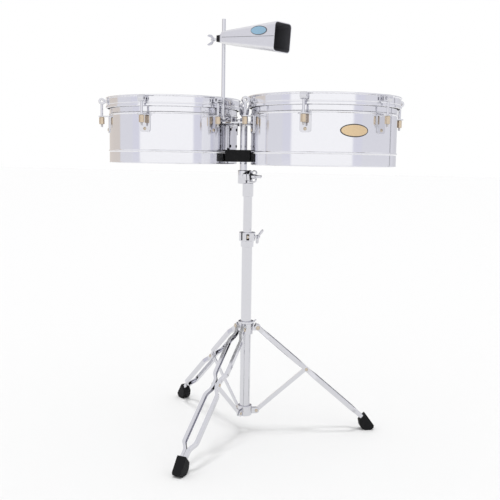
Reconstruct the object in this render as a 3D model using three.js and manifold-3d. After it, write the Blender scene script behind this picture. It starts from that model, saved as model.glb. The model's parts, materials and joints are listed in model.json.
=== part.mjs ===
// Timbales: a 14 inch and a 15 inch metal drum on one tilting post, a cowbell on a bent rod,
// and a height-adjustable tripod that folds. Millimetres, +Z up.
// +X runs along the line of the two drums, from the 14 inch drum to the 15 inch drum.
// The parts are placed about the axis of the stand's base tube, with the floor at z = 0.
// The finished group is then moved so that the origin is the centre of its footprint.
import * as THREE from "three";
import { mergeVertices } from "three/addons/utils/BufferGeometryUtils.js";
import Module from "manifold-3d";

const wasm = await Module();
wasm.setup();

const degrees = THREE.MathUtils.degToRad;

// ---- Driving dimensions -------------------------------------------------------------------

const GAP = 0.3; // between pieces that rest on each other
const PIN_PLAY = 0.4; // between a pin and its hole
const BEYOND = 5; // reach of a cutting tool past what it cuts
const BITE = 1; // depth to which two joined shapes run into each other
const ROUND_SIDES = 20; // sides of a tube
const DRUM_SIDES = 48; // sides of a drum
const SMALL_SIDES = 10; // sides of a screw or a nut
const CORNER_STEPS = 3; // facets of a rounded corner

// Folding tripod
const LEG_COUNT = 3;
const FIRST_LEG_AZIMUTH = 22.9; // degrees
const SPREAD = 49.35; // degrees between a leg and the base tube
const BRACE_LENGTH = 185.1; // pivot to pivot, and also from the top of a leg to its knee
const PIVOT_RADIUS = 33; // of the hub pivots from the base tube's axis
const BRACE_PIVOT_HEIGHT = 59.3;
const BAR_WIDTH = 9;
const BAR_DEPTH = 16;
const BAR_WALL = 1.6;
const BAR_EYE_RADIUS = 9.5;
const BAR_SPACING = 35; // between the two bars of a leg where they stand apart
const BAR_BEND = 18; // length over which a bar is cranked in or out
const BAR_STRAIGHT = { hub: 20, knee: 14, foot: 24 }; // where a leg's bars lie close together
const BRACE_WIDTH = 12;
const BRACE_THICKNESS = 3.2;
const PIN_RADIUS = 3;
const PIN_HEAD = 2.2; // height of a rivet head
const BOLT_HEAD_RADIUS = 6;
const RIVET_HEAD_RADIUS = 4.6;

// Rubber foot
const BOOT_MOUTH_HEIGHT = 38; // of the centre of its mouth above the floor
const BOOT_MOUTH_WIDTH = 27;
const BOOT_SOCKET_DEPTH = 16;
const BOOT_WIDTH = 26;
const BOOT_CORNER = 9; // cut off each upright corner
// Corners of the sole in the leg's upright plane, outwards from under the middle of the mouth
const BOOT_SOLE = [[-6, 12], [1, 3], [8, 0], [25, 0], [34, 6], [35, 13]];

// Tubes of the stand
const BASE_TUBE = { radius: 14.3, wall: 1.5, bottom: 47.2, top: 544.3 };
const MAST = { play: 0.8, wall: 1.4, bottom: 330, top: 702 }; // play: to the base tube's bore
const POST = { radius: 9.8, wall: 1.5 };
const POST_OFFSET = -14.1; // of the post from the base tube's axis, along X

// Hubs and clamps
const HUB_WALL = 5.2;
const HUB_FLANGE_RIM = 2.8; // of the flange outside the hub
const HUB_FLANGE_HEIGHT = 7;
const HUB_HALF_HEIGHT = 18.5;
const LEG_EAR_THICKNESS = 8;
const BRACE_HUB_WALL = 6.2;
const BRACE_HUB_HEIGHT = 28;
const BRACE_EAR_THICKNESS = 3;
const BRACE_EAR_RADIUS = 8.5;
const CLAMP = { wall: 8.5, height: 24.5, collarWall: 3.5, collarHeight: 16, bevel: 3 };
const CLAMP_WINDOW = { width: 8, height: 17, azimuth: -71.3 }; // where its nut shows
const CLAMP_SLIT = { width: 3, azimuth: -128.3 };
const CLAMP_BOLT_INSET = 5.5; // of the clamp bolt's axis outside the mast
const CLAMP_BOLT_AZIMUTH = 48.7; // degrees
const CLAMP_BOLT_INNER_END = -10;
const HUB_SCREW_AZIMUTH = 82.9; // degrees, midway between two legs
const HUB_SCREW_STANDOFF = 8; // of the screw's boss from the hub, clear of the legs' bolts

// Wing screws and the wing nut: shank and boss radii, boss length, and how far the wings
// spread, sweep outwards and are turned about the screw's own axis, in degrees
const HUB_WING = { radius: 3, boss: 6, bossLength: 9, span: 22, sweep: 4, turn: 40 };
const CLAMP_WING = { radius: 3, boss: 6, bossLength: 8, span: 27, sweep: 5, turn: 38 };
const BRIDGE_WING = { radius: 5, boss: 7, bossLength: 14, span: 17, sweep: 16, turn: 60 };
const COWBELL_WING = { radius: 3, boss: 5.5, bossLength: 8, span: 24, sweep: 11, turn: 0 };

// Tilter
const TILT_HEIGHT = 722.6;
const TILTER_WALL = 3; // of its socket round the mast
const TILTER_SOCKET_LENGTH = 37;
const TILTER_EAR_THICKNESS = 7.5;
const TILTER_EAR_RADIUS = 17;
const TILTER_TOP = 16.7; // of the post clamp above the tilt axis
const TILTER_DROP = 20; // of the post clamp's lower end below the tilt axis
const TILTER_CHEEK_WIDTH = 22;
const TILTER_SOCKET_RISE = 2.5; // of the socket above the mast's own end
const TILTER_EAR_ROOT = { width: 18, height: 10, drop: 6 };
const TILTER_LOOP = { radius: 8, hole: 4.2, thickness: 5.2, along: 8.5, across: 9.4, turn: 80 };
const TILTER_GRIP = { boss: 6.5, bossLength: 12, radius: 4.2, length: 30 };

// Drums
const SHELL_BOTTOM = 754.6;
const HOOP_TOP = 932.4;
const SHELL_WALL = 1.5;
const DRUM_GAP = 64; // between the two shells
const SMALL_DRUM_RADIUS = 177.8;
const LARGE_DRUM_RADIUS = 190.5;
const RIM_HEIGHT = 8; // of the hoop above the head
const HEAD_THICKNESS = 1;
const FLESH_RING = { width: 4, height: 6, drop: 12, fit: 0.6 };
const HOOP = { height: 31, wall: 2, reach: 10, ledge: 3, ledgeFit: 1.6 };
const BEAD_DEPTH = 2;
const BEAD_HEIGHT = 6;
const UPPER_BEAD_DROP = 46; // below the hoop's top
const LOWER_BEAD_RISE = 33; // above the shell's bottom

// Tension lugs
const LUG_COUNT = 6;
const LUG_FIRST_AZIMUTH = 30; // degrees
const LUG_PLATE = { width: 28.6, height: 46, thickness: 3.2, drop: 50.4, reach: 29 };
const ROD_OFFSET = 21; // of a tension rod's axis outside the shell
const ROD_RADIUS = 3.4;
const ROD_DROP = 81; // of its lower end below the hoop's top
const BARREL = { radius: 9.3, width: 16.5, strap: 12 };
const NUT = { radius: 7.2, height: 19, bevel: 1.5 };

// Bridge between the drums
const BUMPER = { bottom: 762, height: 32, depth: 130 };
const BRIDGE = { bottom: 863.5, thickness: 5, depth: 124, drumGap: 2.5 };
const MOUNT = { width: 64, thickness: 3, flange: 4.5, flangeWidth: 40, postGap: 3 };
const SPACER = { radius: 11, height: 11.5 };
const STUD_RADIUS = 4;
const STUD_HEIGHT = 898;
const POST_FOOT_DROP = 13; // of the post's foot below the tilt axis
const POST_PLUG_LENGTH = 14;

// Cowbell and its rod
const COWBELL_ROD = { radius: 4.8, x: -46, y: -79, top: 1131, legRise: 7 };
const EYE = { x: -34, y: -52, radius: 12, length: 14, tail: 6 };
const COWBELL = { length: 196, wall: 1.8, azimuth: -22, pitch: 4.5, height: 1082, start: 3 };
const COWBELL_END = { width: 44, height: 31, corner: 6 };
const COWBELL_MOUTH = { width: 66, height: 72, corner: 12 };
const COWBELL_BLOCK = { width: 20, height: 24, back: 18 };
const COWBELL_SHANK = 32; // from the end of the screw in the block to its wings

// ---- Worked out from them -------------------------------------------------------------------

const kneeRadius = PIVOT_RADIUS + BRACE_LENGTH * Math.sin(degrees(SPREAD));
const kneeHeight = BRACE_PIVOT_HEIGHT + BRACE_LENGTH * Math.cos(degrees(SPREAD));
const legTopHeight = 2 * kneeHeight - BRACE_PIVOT_HEIGHT;
const legPitch = degrees(90 - SPREAD); // of a leg below the horizontal
const lowerLeg = (kneeHeight - BOOT_MOUTH_HEIGHT) / Math.cos(degrees(SPREAD));
const mastRadius = BASE_TUBE.radius - BASE_TUBE.wall - MAST.play;
const hubRadius = BASE_TUBE.radius + HUB_WALL;
const braceHubRadius = BASE_TUBE.radius + BRACE_HUB_WALL;
const clampRadius = BASE_TUBE.radius + CLAMP.wall;
const clampBoltOffset = mastRadius + CLAMP_BOLT_INSET;
const tilterRadius = mastRadius + TILTER_WALL;
const clampBottom = BASE_TUBE.top + GAP;
const bridgeTop = BRIDGE.bottom + BRIDGE.thickness;
const smallDrumX = POST_OFFSET - DRUM_GAP / 2 - SMALL_DRUM_RADIUS;
const largeDrumX = POST_OFFSET + DRUM_GAP / 2 + LARGE_DRUM_RADIUS;
const rodLegHeight = bridgeTop + COWBELL_ROD.legRise;

// ---- Finishes ---------------------------------------------------------------------------------

const finishes = {
  chrome: { color: 0xd9dadd, metalness: 1, roughness: 0.12 },
  brass: { color: 0xc9a36a, metalness: 1, roughness: 0.3 },
  rubber: { color: 0x151517, metalness: 0, roughness: 0.75 },
  head: { color: 0xeeeeea, metalness: 0, roughness: 0.55 },
};

// ---- Solid modelling helpers ------------------------------------------------------------------

// A closed three.js geometry as a solid that can be joined and cut.
function solid(geometry) {
  const bare = geometry.index ? geometry.toNonIndexed() : geometry;
  bare.deleteAttribute("normal");
  bare.deleteAttribute("uv");
  const merged = mergeVertices(bare, 1e-4);
  const mesh = new wasm.Mesh({
    numProp: 3,
    vertProperties: merged.attributes.position.array,
    triVerts: new Uint32Array(merged.index.array),
  });
  return new wasm.Manifold(mesh);
}

// A solid as a three.js geometry with flat faces.
function geometryOf(body) {
  const { vertProperties, triVerts } = body.getMesh();
  const geometry = new THREE.BufferGeometry();
  geometry.setAttribute("position", new THREE.BufferAttribute(vertProperties, 3));
  geometry.setIndex(new THREE.BufferAttribute(triVerts, 1));
  const flat = geometry.toNonIndexed();
  flat.computeVertexNormals();
  return flat;
}

const join = (...bodies) => bodies.reduce((whole, body) => whole.add(body));
const cut = (body, ...tools) => tools.reduce((rest, tool) => rest.subtract(tool), body);

// A box from its lowest corner and its size.
function block(x, y, z, width, depth, height) {
  const box = new THREE.BoxGeometry(width, depth, height);
  return solid(box.translate(x + width / 2, y + depth / 2, z + height / 2));
}

// A profile of [radius, height] points, counter-clockwise, turned about Z.
function turned(profile, sides) {
  const points = profile.map(([radius, height]) => new THREE.Vector2(radius, height));
  return solid(new THREE.LatheGeometry([...points, points[0]], sides).rotateX(Math.PI / 2));
}

// A tube about Z; an inner radius of 0 makes it a solid round bar.
function tube(outer, inner, bottom, top, sides = ROUND_SIDES) {
  return turned([[inner, bottom], [outer, bottom], [outer, top], [inner, top]], sides);
}

// A round bar about Z.
function bar(radius, bottom, top, sides = SMALL_SIDES) {
  const cylinder = new THREE.CylinderGeometry(radius, radius, top - bottom, sides);
  return solid(cylinder.rotateX(Math.PI / 2).translate(0, 0, (top + bottom) / 2));
}

// A round bar about an axis through (x, z) that runs along Y, from one Y to another.
function crossBar(radius, x, z, from, to, sides = SMALL_SIDES) {
  return bar(radius, -to, -from, sides).rotate([90, 0, 0]).translate([x, 0, z]);
}

// An outline in the XY plane with a thickness along Z, centred on the plane.
function plate(outline, thickness, curveSegments = 6) {
  const options = { depth: thickness, bevelEnabled: false, curveSegments };
  return solid(new THREE.ExtrudeGeometry(outline, options).translate(0, 0, -thickness / 2));
}

const polygon = (points) => new THREE.Shape(points.map(([x, y]) => new THREE.Vector2(x, y)));

// The same plate stood up, so that its outline lies in the XZ plane.
const uprightPlate = (outline, thickness) => plate(outline, thickness).rotate([90, 0, 0]);

// A closed solid between two rings of corners with the same count, each round the X axis.
function lofted(rings) {
  const count = rings[0].length;
  const positions = rings.flat().flatMap(({ x, y, z }) => [x, y, z]);
  const faces = [];
  for (let i = 0; i < count; i += 1) {
    const next = (i + 1) % count;
    faces.push(i, count + next, next, i, count + i, count + next);
  }
  for (let i = 1; i < count - 1; i += 1) {
    faces.push(0, i, i + 1, count, count + i + 1, count + i);
  }
  const geometry = new THREE.BufferGeometry();
  geometry.setAttribute("position", new THREE.Float32BufferAttribute(positions, 3));
  geometry.setIndex(faces);
  const body = solid(geometry);
  if (body.volume() > 0) return body;
  geometry.setIndex(faces.reverse());
  return solid(geometry);
}

function mesh(name, body, finish) {
  const part = new THREE.Mesh(geometryOf(body), new THREE.MeshStandardMaterial(finish));
  part.name = name;
  return part;
}

function group(position, ...children) {
  const made = new THREE.Group();
  made.position.set(...position);
  made.add(...children);
  return made;
}

// ---- Shared hardware --------------------------------------------------------------------------

// A wing screw along +X: its tip is at the origin and its two wings spread in the XZ plane.
function wingScrew({ radius, shank, boss, bossLength, span, sweep }) {
  const wingRoot = shank + bossLength * 0.25;
  const wing = polygon([
    [wingRoot, 0],
    [shank + bossLength, 0],
    [shank + bossLength + sweep, span * 0.78],
    [shank + bossLength + sweep * 0.6, span],
    [shank + bossLength * 0.5 + sweep * 0.3, span * 0.92],
    [wingRoot, boss * 0.6],
  ]);
  const upper = uprightPlate(wing, boss * 0.55);
  return join(
    bar(radius, 0, shank + bossLength / 2).rotate([0, 90, 0]),
    bar(boss, shank, shank + bossLength).rotate([0, 90, 0]),
    upper,
    upper.rotate([180, 0, 0]),
  );
}

// ---- Folding tripod ---------------------------------------------------------------------------

// Half the distance between the middles of a leg's two bars, at stations along the leg.
// Stations are counted from the knee, negative towards the hub.
function barStations() {
  const pinched = (thickness) => thickness / 2 + GAP + BAR_WIDTH / 2;
  const apart = BAR_SPACING / 2;
  const top = -BRACE_LENGTH;
  const { hub, knee, foot } = BAR_STRAIGHT;
  return [
    [top - BAR_EYE_RADIUS, pinched(LEG_EAR_THICKNESS)],
    [top + hub, pinched(LEG_EAR_THICKNESS)],
    [top + hub + BAR_BEND, apart],
    [-knee - BAR_BEND, apart],
    [-knee, pinched(BRACE_THICKNESS)],
    [knee, pinched(BRACE_THICKNESS)],
    [knee + BAR_BEND, apart],
    [lowerLeg - foot - BAR_BEND, apart],
    [lowerLeg - foot, pinched(0)],
    [lowerLeg + BOOT_SOCKET_DEPTH, pinched(0)],
  ];
}

// The strip between two distances on either side of a bar's middle line.
function barStrip(stations, inner, outer) {
  const inside = stations.map(([s, t]) => [s, t + inner]);
  const outside = stations.map(([s, t]) => [s, t + outer]);
  return polygon([...inside, ...outside.reverse()]);
}

// The side view of a bar: a straight strip with a round eye at its top.
function barSideView() {
  const end = lowerLeg + BOOT_SOCKET_DEPTH;
  const half = BAR_DEPTH / 2;
  const neck = Math.acos(half / BAR_EYE_RADIUS);
  const shape = new THREE.Shape();
  shape.moveTo(end, half);
  shape.absarc(-BRACE_LENGTH, 0, BAR_EYE_RADIUS, Math.PI / 2 - neck, 1.5 * Math.PI + neck, false);
  shape.lineTo(end, -half);
  return shape;
}

// One pressed channel bar, on the +Y side of the leg; +X runs down the leg from the knee.
function legBar() {
  const stations = barStations();
  const half = BAR_WIDTH / 2;
  const blank = plate(barStrip(stations, -half, half), 2 * BAR_EYE_RADIUS);
  const shaped = blank.intersect(uprightPlate(barSideView(), BAR_SPACING + 4 * BAR_WIDTH));
  const hollow = BAR_DEPTH - 2 * BAR_WALL;
  const channel = (from, to) =>
    plate(barStrip(stations.slice(from, to), -half - BEYOND, half - BAR_WALL), hollow);
  return cut(shaped, channel(1, 5), channel(5, 9));
}

// A pin across the leg with a head at both ends, clear of the bars' outer faces on one side.
function legPin(station, ear, headRadius) {
  const reach = ear / 2 + GAP + BAR_WIDTH;
  return join(
    crossBar(PIN_RADIUS, station, 0, -reach - GAP - PIN_HEAD, reach + PIN_HEAD),
    crossBar(headRadius, station, 0, -reach - GAP - PIN_HEAD, -reach - GAP),
    crossBar(headRadius, station, 0, reach - GAP, reach + PIN_HEAD),
  );
}

const pinHole = (station, height = 0) =>
  crossBar(PIN_RADIUS + PIN_PLAY, station, height, -BAR_SPACING, BAR_SPACING);

// A moulded foot in the upright plane of its leg, with its upright corners cut off.
function boot() {
  const mouthX = kneeRadius + lowerLeg * Math.sin(degrees(SPREAD));
  const [alongX, alongZ] = [Math.cos(degrees(SPREAD)), Math.sin(degrees(SPREAD))];
  const lip = (side) => [
    mouthX + (side * BOOT_MOUTH_WIDTH * alongX) / 2,
    BOOT_MOUTH_HEIGHT + (side * BOOT_MOUTH_WIDTH * alongZ) / 2,
  ];
  const sole = BOOT_SOLE.map(([x, z]) => [mouthX + x, z]);
  const side = polygon([lip(-1), ...sole, lip(1)]);
  const inner = lip(-1)[0];
  const outer = sole.at(-1)[0];
  const half = BOOT_WIDTH / 2;
  const plan = polygon([
    [inner, half - BOOT_CORNER],
    [inner, BOOT_CORNER - half],
    [inner + BOOT_CORNER, -half],
    [outer - BOOT_CORNER, -half],
    [outer, BOOT_CORNER - half],
    [outer, half - BOOT_CORNER],
    [outer - BOOT_CORNER, half],
    [inner + BOOT_CORNER, half],
  ]);
  const upright = plate(plan, 4 * BOOT_MOUTH_HEIGHT);
  return uprightPlate(side, BOOT_WIDTH + BITE).intersect(upright);
}

// The foot in the leg's own frame, with a socket for the ends of the two bars.
function foot() {
  const turnedBoot = boot().translate([-kneeRadius, 0, -kneeHeight]);
  const socketWidth = 2 * (BAR_WIDTH + 2 * GAP);
  const socket = block(
    lowerLeg - BOOT_MOUTH_WIDTH,
    -socketWidth / 2,
    -BAR_DEPTH / 2 - GAP,
    BOOT_MOUTH_WIDTH + BOOT_SOCKET_DEPTH + GAP,
    socketWidth,
    BAR_DEPTH + 2 * GAP,
  );
  return cut(turnedBoot.rotate([0, SPREAD - 90, 0]), socket);
}

function leg(number) {
  const top = -BRACE_LENGTH;
  const pins = join(
    legPin(top, LEG_EAR_THICKNESS, BOLT_HEAD_RADIUS),
    legPin(0, BRACE_THICKNESS, RIVET_HEAD_RADIUS),
  );
  const left = legBar();
  const right = cut(left.mirror([0, 1, 0]), pinHole(top), pinHole(0));
  const made = group(
    [kneeRadius, 0, kneeHeight],
    mesh(`leg_${number}_bar_left`, join(left, pins), finishes.chrome),
    mesh(`leg_${number}_bar_right`, right, finishes.chrome),
    mesh(`leg_${number}_foot`, foot(), finishes.rubber),
  );
  made.rotation.y = legPitch;
  return made;
}

// A flat brace with its lower pin; +X runs from the lower pivot to the knee.
function brace(number) {
  const half = BRACE_WIDTH / 2;
  const outline = new THREE.Shape();
  outline.absarc(0, 0, half, Math.PI / 2, 1.5 * Math.PI, false);
  outline.absarc(BRACE_LENGTH, 0, half, -Math.PI / 2, Math.PI / 2, false);
  const strip = cut(uprightPlate(outline, BRACE_THICKNESS), pinHole(BRACE_LENGTH));
  const reach = BRACE_THICKNESS / 2 + GAP + BRACE_EAR_THICKNESS + GAP;
  const pin = join(
    crossBar(PIN_RADIUS, 0, 0, -reach - PIN_HEAD, reach + PIN_HEAD),
    crossBar(RIVET_HEAD_RADIUS, 0, 0, -reach - PIN_HEAD, -reach),
    crossBar(RIVET_HEAD_RADIUS, 0, 0, reach, reach + PIN_HEAD),
  );
  const made = group(
    [PIVOT_RADIUS, 0, BRACE_PIVOT_HEIGHT],
    mesh(`brace_${number}`, join(strip, pin), finishes.chrome),
  );
  made.rotation.y = -legPitch;
  return made;
}

// An ear that stands out from a hub to its pivot, in the leg's upright plane.
function hubEar(pivotHeight, radius, root, thickness) {
  const outline = new THREE.Shape();
  outline.moveTo(root, pivotHeight + radius);
  outline.lineTo(root, pivotHeight - radius);
  outline.absarc(PIVOT_RADIUS, pivotHeight, radius, -Math.PI / 2, Math.PI / 2, false);
  return cut(uprightPlate(outline, thickness), pinHole(PIVOT_RADIUS, pivotHeight));
}

const legAzimuths = Array.from(
  { length: LEG_COUNT },
  (_, i) => FIRST_LEG_AZIMUTH + (i * 360) / LEG_COUNT,
);

const atEachLeg = (body) => join(...legAzimuths.map((azimuth) => body.rotate([0, 0, azimuth])));

// The fixed hub at the bottom of the base tube, with a forked ear for each brace.
function braceHub() {
  const bore = BASE_TUBE.radius + GAP;
  const ring = tube(braceHubRadius, bore, BASE_TUBE.bottom, BASE_TUBE.bottom + BRACE_HUB_HEIGHT);
  const root = (bore + braceHubRadius) / 2;
  const ear = hubEar(BRACE_PIVOT_HEIGHT, BRACE_EAR_RADIUS, root, BRACE_EAR_THICKNESS);
  const offset = BRACE_THICKNESS / 2 + GAP + BRACE_EAR_THICKNESS / 2;
  const fork = join(ear.translate([0, offset, 0]), ear.translate([0, -offset, 0]));
  return mesh("brace_hub", join(ring, atEachLeg(fork)), finishes.chrome);
}

// The sliding hub that carries the tops of the legs.
function legHub() {
  const bore = BASE_TUBE.radius + GAP;
  const bottom = legTopHeight - HUB_HALF_HEIGHT;
  const top = legTopHeight + HUB_HALF_HEIGHT;
  const profile = [
    [bore, bottom],
    [hubRadius, bottom],
    [hubRadius, top - HUB_FLANGE_HEIGHT],
    [hubRadius + HUB_FLANGE_RIM, top - HUB_FLANGE_HEIGHT + 1],
    [hubRadius + HUB_FLANGE_RIM, top],
    [bore, top],
  ];
  const root = (bore + hubRadius) / 2;
  const ear = hubEar(legTopHeight, BAR_EYE_RADIUS - 0.5, root, LEG_EAR_THICKNESS);
  const screwHole = bar(PIN_RADIUS + PIN_PLAY, 0, BAR_SPACING).rotate([0, 90, 0]);
  const placedHole = screwHole.rotate([0, 0, HUB_SCREW_AZIMUTH]).translate([0, 0, legTopHeight]);
  return mesh(
    "leg_hub",
    cut(join(turned(profile, ROUND_SIDES), atEachLeg(ear)), placedHole),
    finishes.chrome,
  );
}

function legHubScrew() {
  const shank = hubRadius - BASE_TUBE.radius + HUB_SCREW_STANDOFF;
  const screw = wingScrew({ ...HUB_WING, shank });
  const made = group(
    [0, 0, legTopHeight],
    mesh("leg_hub_wing_screw", screw.rotate([HUB_WING.turn, 0, 0]), finishes.chrome),
  );
  made.rotation.z = degrees(HUB_SCREW_AZIMUTH);
  made.children[0].position.x = BASE_TUBE.radius + GAP;
  return made;
}

function tripod() {
  const legs = legAzimuths.map((azimuth, i) => {
    const made = group([0, 0, 0], leg(i + 1), brace(i + 1));
    made.rotation.z = degrees(azimuth);
    return made;
  });
  return group([0, 0, 0], braceHub(), legHub(), legHubScrew(), ...legs);
}

// ---- Tubes, height clamp and tilter -------------------------------------------------------------

// Turns a piece about +X to run along the clamp bolt, which passes beside the mast.
function alongClampBolt(body) {
  const height = clampBottom + CLAMP.height / 2;
  const turn = body.translate([0, -clampBoltOffset, height]);
  return turn.rotate([0, 0, CLAMP_BOLT_AZIMUTH]);
}

// The clamp on top of the base tube: a collar below, a split ring with a nut window above.
function heightClamp() {
  const { height, collarWall, collarHeight, bevel } = CLAMP;
  const radius = clampRadius;
  const collarRadius = BASE_TUBE.radius + collarWall;
  const top = clampBottom + height;
  const boreBelow = BASE_TUBE.radius + GAP;
  const boreAbove = mastRadius + GAP;
  const profile = [
    [boreBelow, clampBottom - collarHeight],
    [collarRadius, clampBottom - collarHeight],
    [collarRadius, clampBottom - GAP],
    [radius - bevel, clampBottom],
    [radius, clampBottom + bevel],
    [radius, top - bevel / 2],
    [radius - bevel / 2, top],
    [boreAbove, top],
    [boreAbove, clampBottom],
    [boreBelow, clampBottom],
  ];
  const reach = radius + BEYOND;
  const windowBottom = top - (height + CLAMP_WINDOW.height) / 2;
  const half = CLAMP_WINDOW.width / 2;
  const window = block(0, -half, windowBottom, reach, CLAMP_WINDOW.width, CLAMP_WINDOW.height);
  const slit = block(
    0,
    -CLAMP_SLIT.width / 2,
    clampBottom + bevel,
    reach,
    CLAMP_SLIT.width,
    height,
  );
  const boltHole = bar(PIN_RADIUS + PIN_PLAY, CLAMP_BOLT_INNER_END, reach).rotate([0, 90, 0]);
  return mesh(
    "height_clamp",
    cut(
      turned(profile, ROUND_SIDES),
      window.rotate([0, 0, CLAMP_WINDOW.azimuth]),
      slit.rotate([0, 0, CLAMP_SLIT.azimuth]),
      alongClampBolt(boltHole),
    ),
    finishes.chrome,
  );
}

function heightClampScrew() {
  const innerSide = clampBoltOffset - CLAMP_WING.boss - 2 * BITE;
  const seat = Math.sqrt(clampRadius ** 2 - innerSide ** 2) + GAP;
  const screw = wingScrew({ ...CLAMP_WING, shank: seat - CLAMP_BOLT_INNER_END });
  const turnedScrew = screw.rotate([CLAMP_WING.turn, 0, 0]);
  const placed = alongClampBolt(turnedScrew.translate([CLAMP_BOLT_INNER_END, 0, 0]));
  return mesh("height_clamp_screw", placed, finishes.chrome);
}

const baseTube = () =>
  mesh(
    "base_tube",
    tube(BASE_TUBE.radius, BASE_TUBE.radius - BASE_TUBE.wall, BASE_TUBE.bottom, BASE_TUBE.top),
    finishes.chrome,
  );

const tiltHole = () => {
  const reach = 2 * TILTER_EAR_RADIUS;
  const hole = bar(STUD_RADIUS + PIN_PLAY, -tilterRadius, reach).rotate([0, 90, 0]);
  return hole.translate([POST_OFFSET + tilterRadius, 0, TILT_HEIGHT]);
};

// The sliding mast with the lower half of the tilter on its top: a socket and a toothed ear.
function mast() {
  const socketTop = MAST.top + TILTER_SOCKET_RISE;
  const socketBottom = socketTop - TILTER_SOCKET_LENGTH;
  const socket = tube(tilterRadius, mastRadius - BITE, socketBottom, socketTop);
  const pipe = tube(mastRadius, mastRadius - MAST.wall, MAST.bottom, MAST.top);
  const earX = POST_OFFSET + tilterRadius + GAP;
  const disc = bar(TILTER_EAR_RADIUS, 0, TILTER_EAR_THICKNESS, ROUND_SIDES).rotate([0, 90, 0]);
  const { width, height, drop } = TILTER_EAR_ROOT;
  const root = block(earX, -width / 2, socketTop - drop, TILTER_EAR_THICKNESS, width, height);
  const ear = join(disc.translate([earX, 0, TILT_HEIGHT]), root);
  return mesh("mast", cut(join(socket, pipe, ear), tiltHole()), finishes.chrome);
}

// The upper half of the tilter: a block round the post's foot that turns about the tilt axis.
function tilterHead() {
  const radius = tilterRadius;
  const height = TILTER_DROP + TILTER_TOP;
  const body = tube(radius, POST.radius + GAP, -TILTER_DROP, TILTER_TOP);
  const cheek = block(
    0,
    -TILTER_CHEEK_WIDTH / 2,
    -TILTER_DROP,
    radius,
    TILTER_CHEEK_WIDTH,
    height,
  );
  const bore = bar(POST.radius + GAP, -2 * TILTER_DROP, 2 * TILTER_DROP, ROUND_SIDES);
  const below = bar(TILTER_TOP, -radius, radius, ROUND_SIDES).rotate([0, 90, 0]);
  const above = block(-radius, -2 * radius, 0, 2 * radius, 4 * radius, TILTER_TOP);
  const rounded = join(body, cheek).intersect(join(below, above));
  const placed = cut(rounded, bore).translate([POST_OFFSET, 0, TILT_HEIGHT]);
  return mesh("tilter_head", cut(placed, tiltHole()), finishes.chrome);
}

// The tilter's screw: a shank with a round end and two ring-shaped wings.
function tilterScrew() {
  const start = POST_OFFSET + POST.radius + GAP + BITE;
  const seat = POST_OFFSET + tilterRadius + GAP + TILTER_EAR_THICKNESS + GAP;
  const { radius, hole, thickness, along, across, turn } = TILTER_LOOP;
  const half = thickness / 2;
  const loop = cut(bar(radius, -half, half), bar(hole, -thickness, thickness));
  const loops = join(
    loop.translate([seat + along, across, 0]),
    loop.translate([seat + along, -across, 0]),
  );
  const screw = join(
    bar(STUD_RADIUS, start, seat + BEYOND).rotate([0, 90, 0]),
    bar(TILTER_GRIP.boss, seat, seat + TILTER_GRIP.bossLength).rotate([0, 90, 0]),
    bar(TILTER_GRIP.radius, seat + BEYOND, seat + TILTER_GRIP.length).rotate([0, 90, 0]),
    loops.rotate([turn, 0, 0]),
  );
  return mesh("tilter_wing_screw", screw.translate([0, 0, TILT_HEIGHT]), finishes.chrome);
}

// ---- Post and bridge between the drums ----------------------------------------------------------

// A flat shape between the two drums: straight front and back, sides that follow the shells.
function betweenDrums(depth, clearance, thickness) {
  const half = depth / 2;
  const side = (centre, radius, from, to) => [centre, 0, radius + clearance, from, to];
  const largeTurn = Math.asin(half / (LARGE_DRUM_RADIUS + clearance));
  const smallTurn = Math.asin(half / (SMALL_DRUM_RADIUS + clearance));
  const outline = new THREE.Shape();
  const right = side(largeDrumX, LARGE_DRUM_RADIUS, Math.PI + largeTurn, Math.PI - largeTurn);
  const left = side(smallDrumX, SMALL_DRUM_RADIUS, smallTurn, -smallTurn);
  outline.absarc(...right, true);
  outline.absarc(...left, true);
  return plate(outline, thickness, 12);
}

function post() {
  const bottom = TILT_HEIGHT - POST_FOOT_DROP;
  const top = BRIDGE.bottom - GAP;
  const pipe = tube(POST.radius, POST.radius - POST.wall, bottom, top);
  const plug = bar(POST.radius - POST.wall / 2, top - POST_PLUG_LENGTH, top, ROUND_SIDES);
  const stud = bar(STUD_RADIUS, top - BITE, STUD_HEIGHT);
  const made = join(pipe, plug, stud).translate([POST_OFFSET, 0, 0]);
  return mesh("post", made, finishes.chrome);
}

// The top plate, with a spacer under the wing nut and an eye for the cowbell rod.
function bridge() {
  const flat = betweenDrums(BRIDGE.depth, BRIDGE.drumGap, BRIDGE.thickness);
  const level = flat.translate([0, 0, BRIDGE.bottom + BRIDGE.thickness / 2]);
  const spacer = bar(SPACER.radius, BRIDGE.bottom, bridgeTop + SPACER.height, ROUND_SIDES);
  const studHole = bar(STUD_RADIUS + PIN_PLAY, BRIDGE.bottom - BEYOND, STUD_HEIGHT);
  const eye = alongRodLeg(bar(EYE.radius, -EYE.length / 2, EYE.length / 2, ROUND_SIDES));
  const rodHole = alongRodLeg(bar(COWBELL_ROD.radius + GAP, -EYE.length, 3 * EYE.length));
  const made = join(level, spacer.translate([POST_OFFSET, 0, 0]), eye);
  return mesh(
    "bridge_bracket",
    cut(made, studHole.translate([POST_OFFSET, 0, 0]), rodHole),
    finishes.chrome,
  );
}

function bridgeNut() {
  const seat = bridgeTop + SPACER.height + GAP;
  const nut = wingScrew({ ...BRIDGE_WING, shank: BITE });
  const upright = nut.rotate([0, -90, 0]).rotate([0, 0, BRIDGE_WING.turn]);
  const bore = bar(STUD_RADIUS + PIN_PLAY, -BEYOND, STUD_HEIGHT - seat + BEYOND);
  const made = cut(upright, bore).translate([POST_OFFSET, 0, seat]);
  return mesh("bridge_wing_nut", made, finishes.chrome);
}

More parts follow.
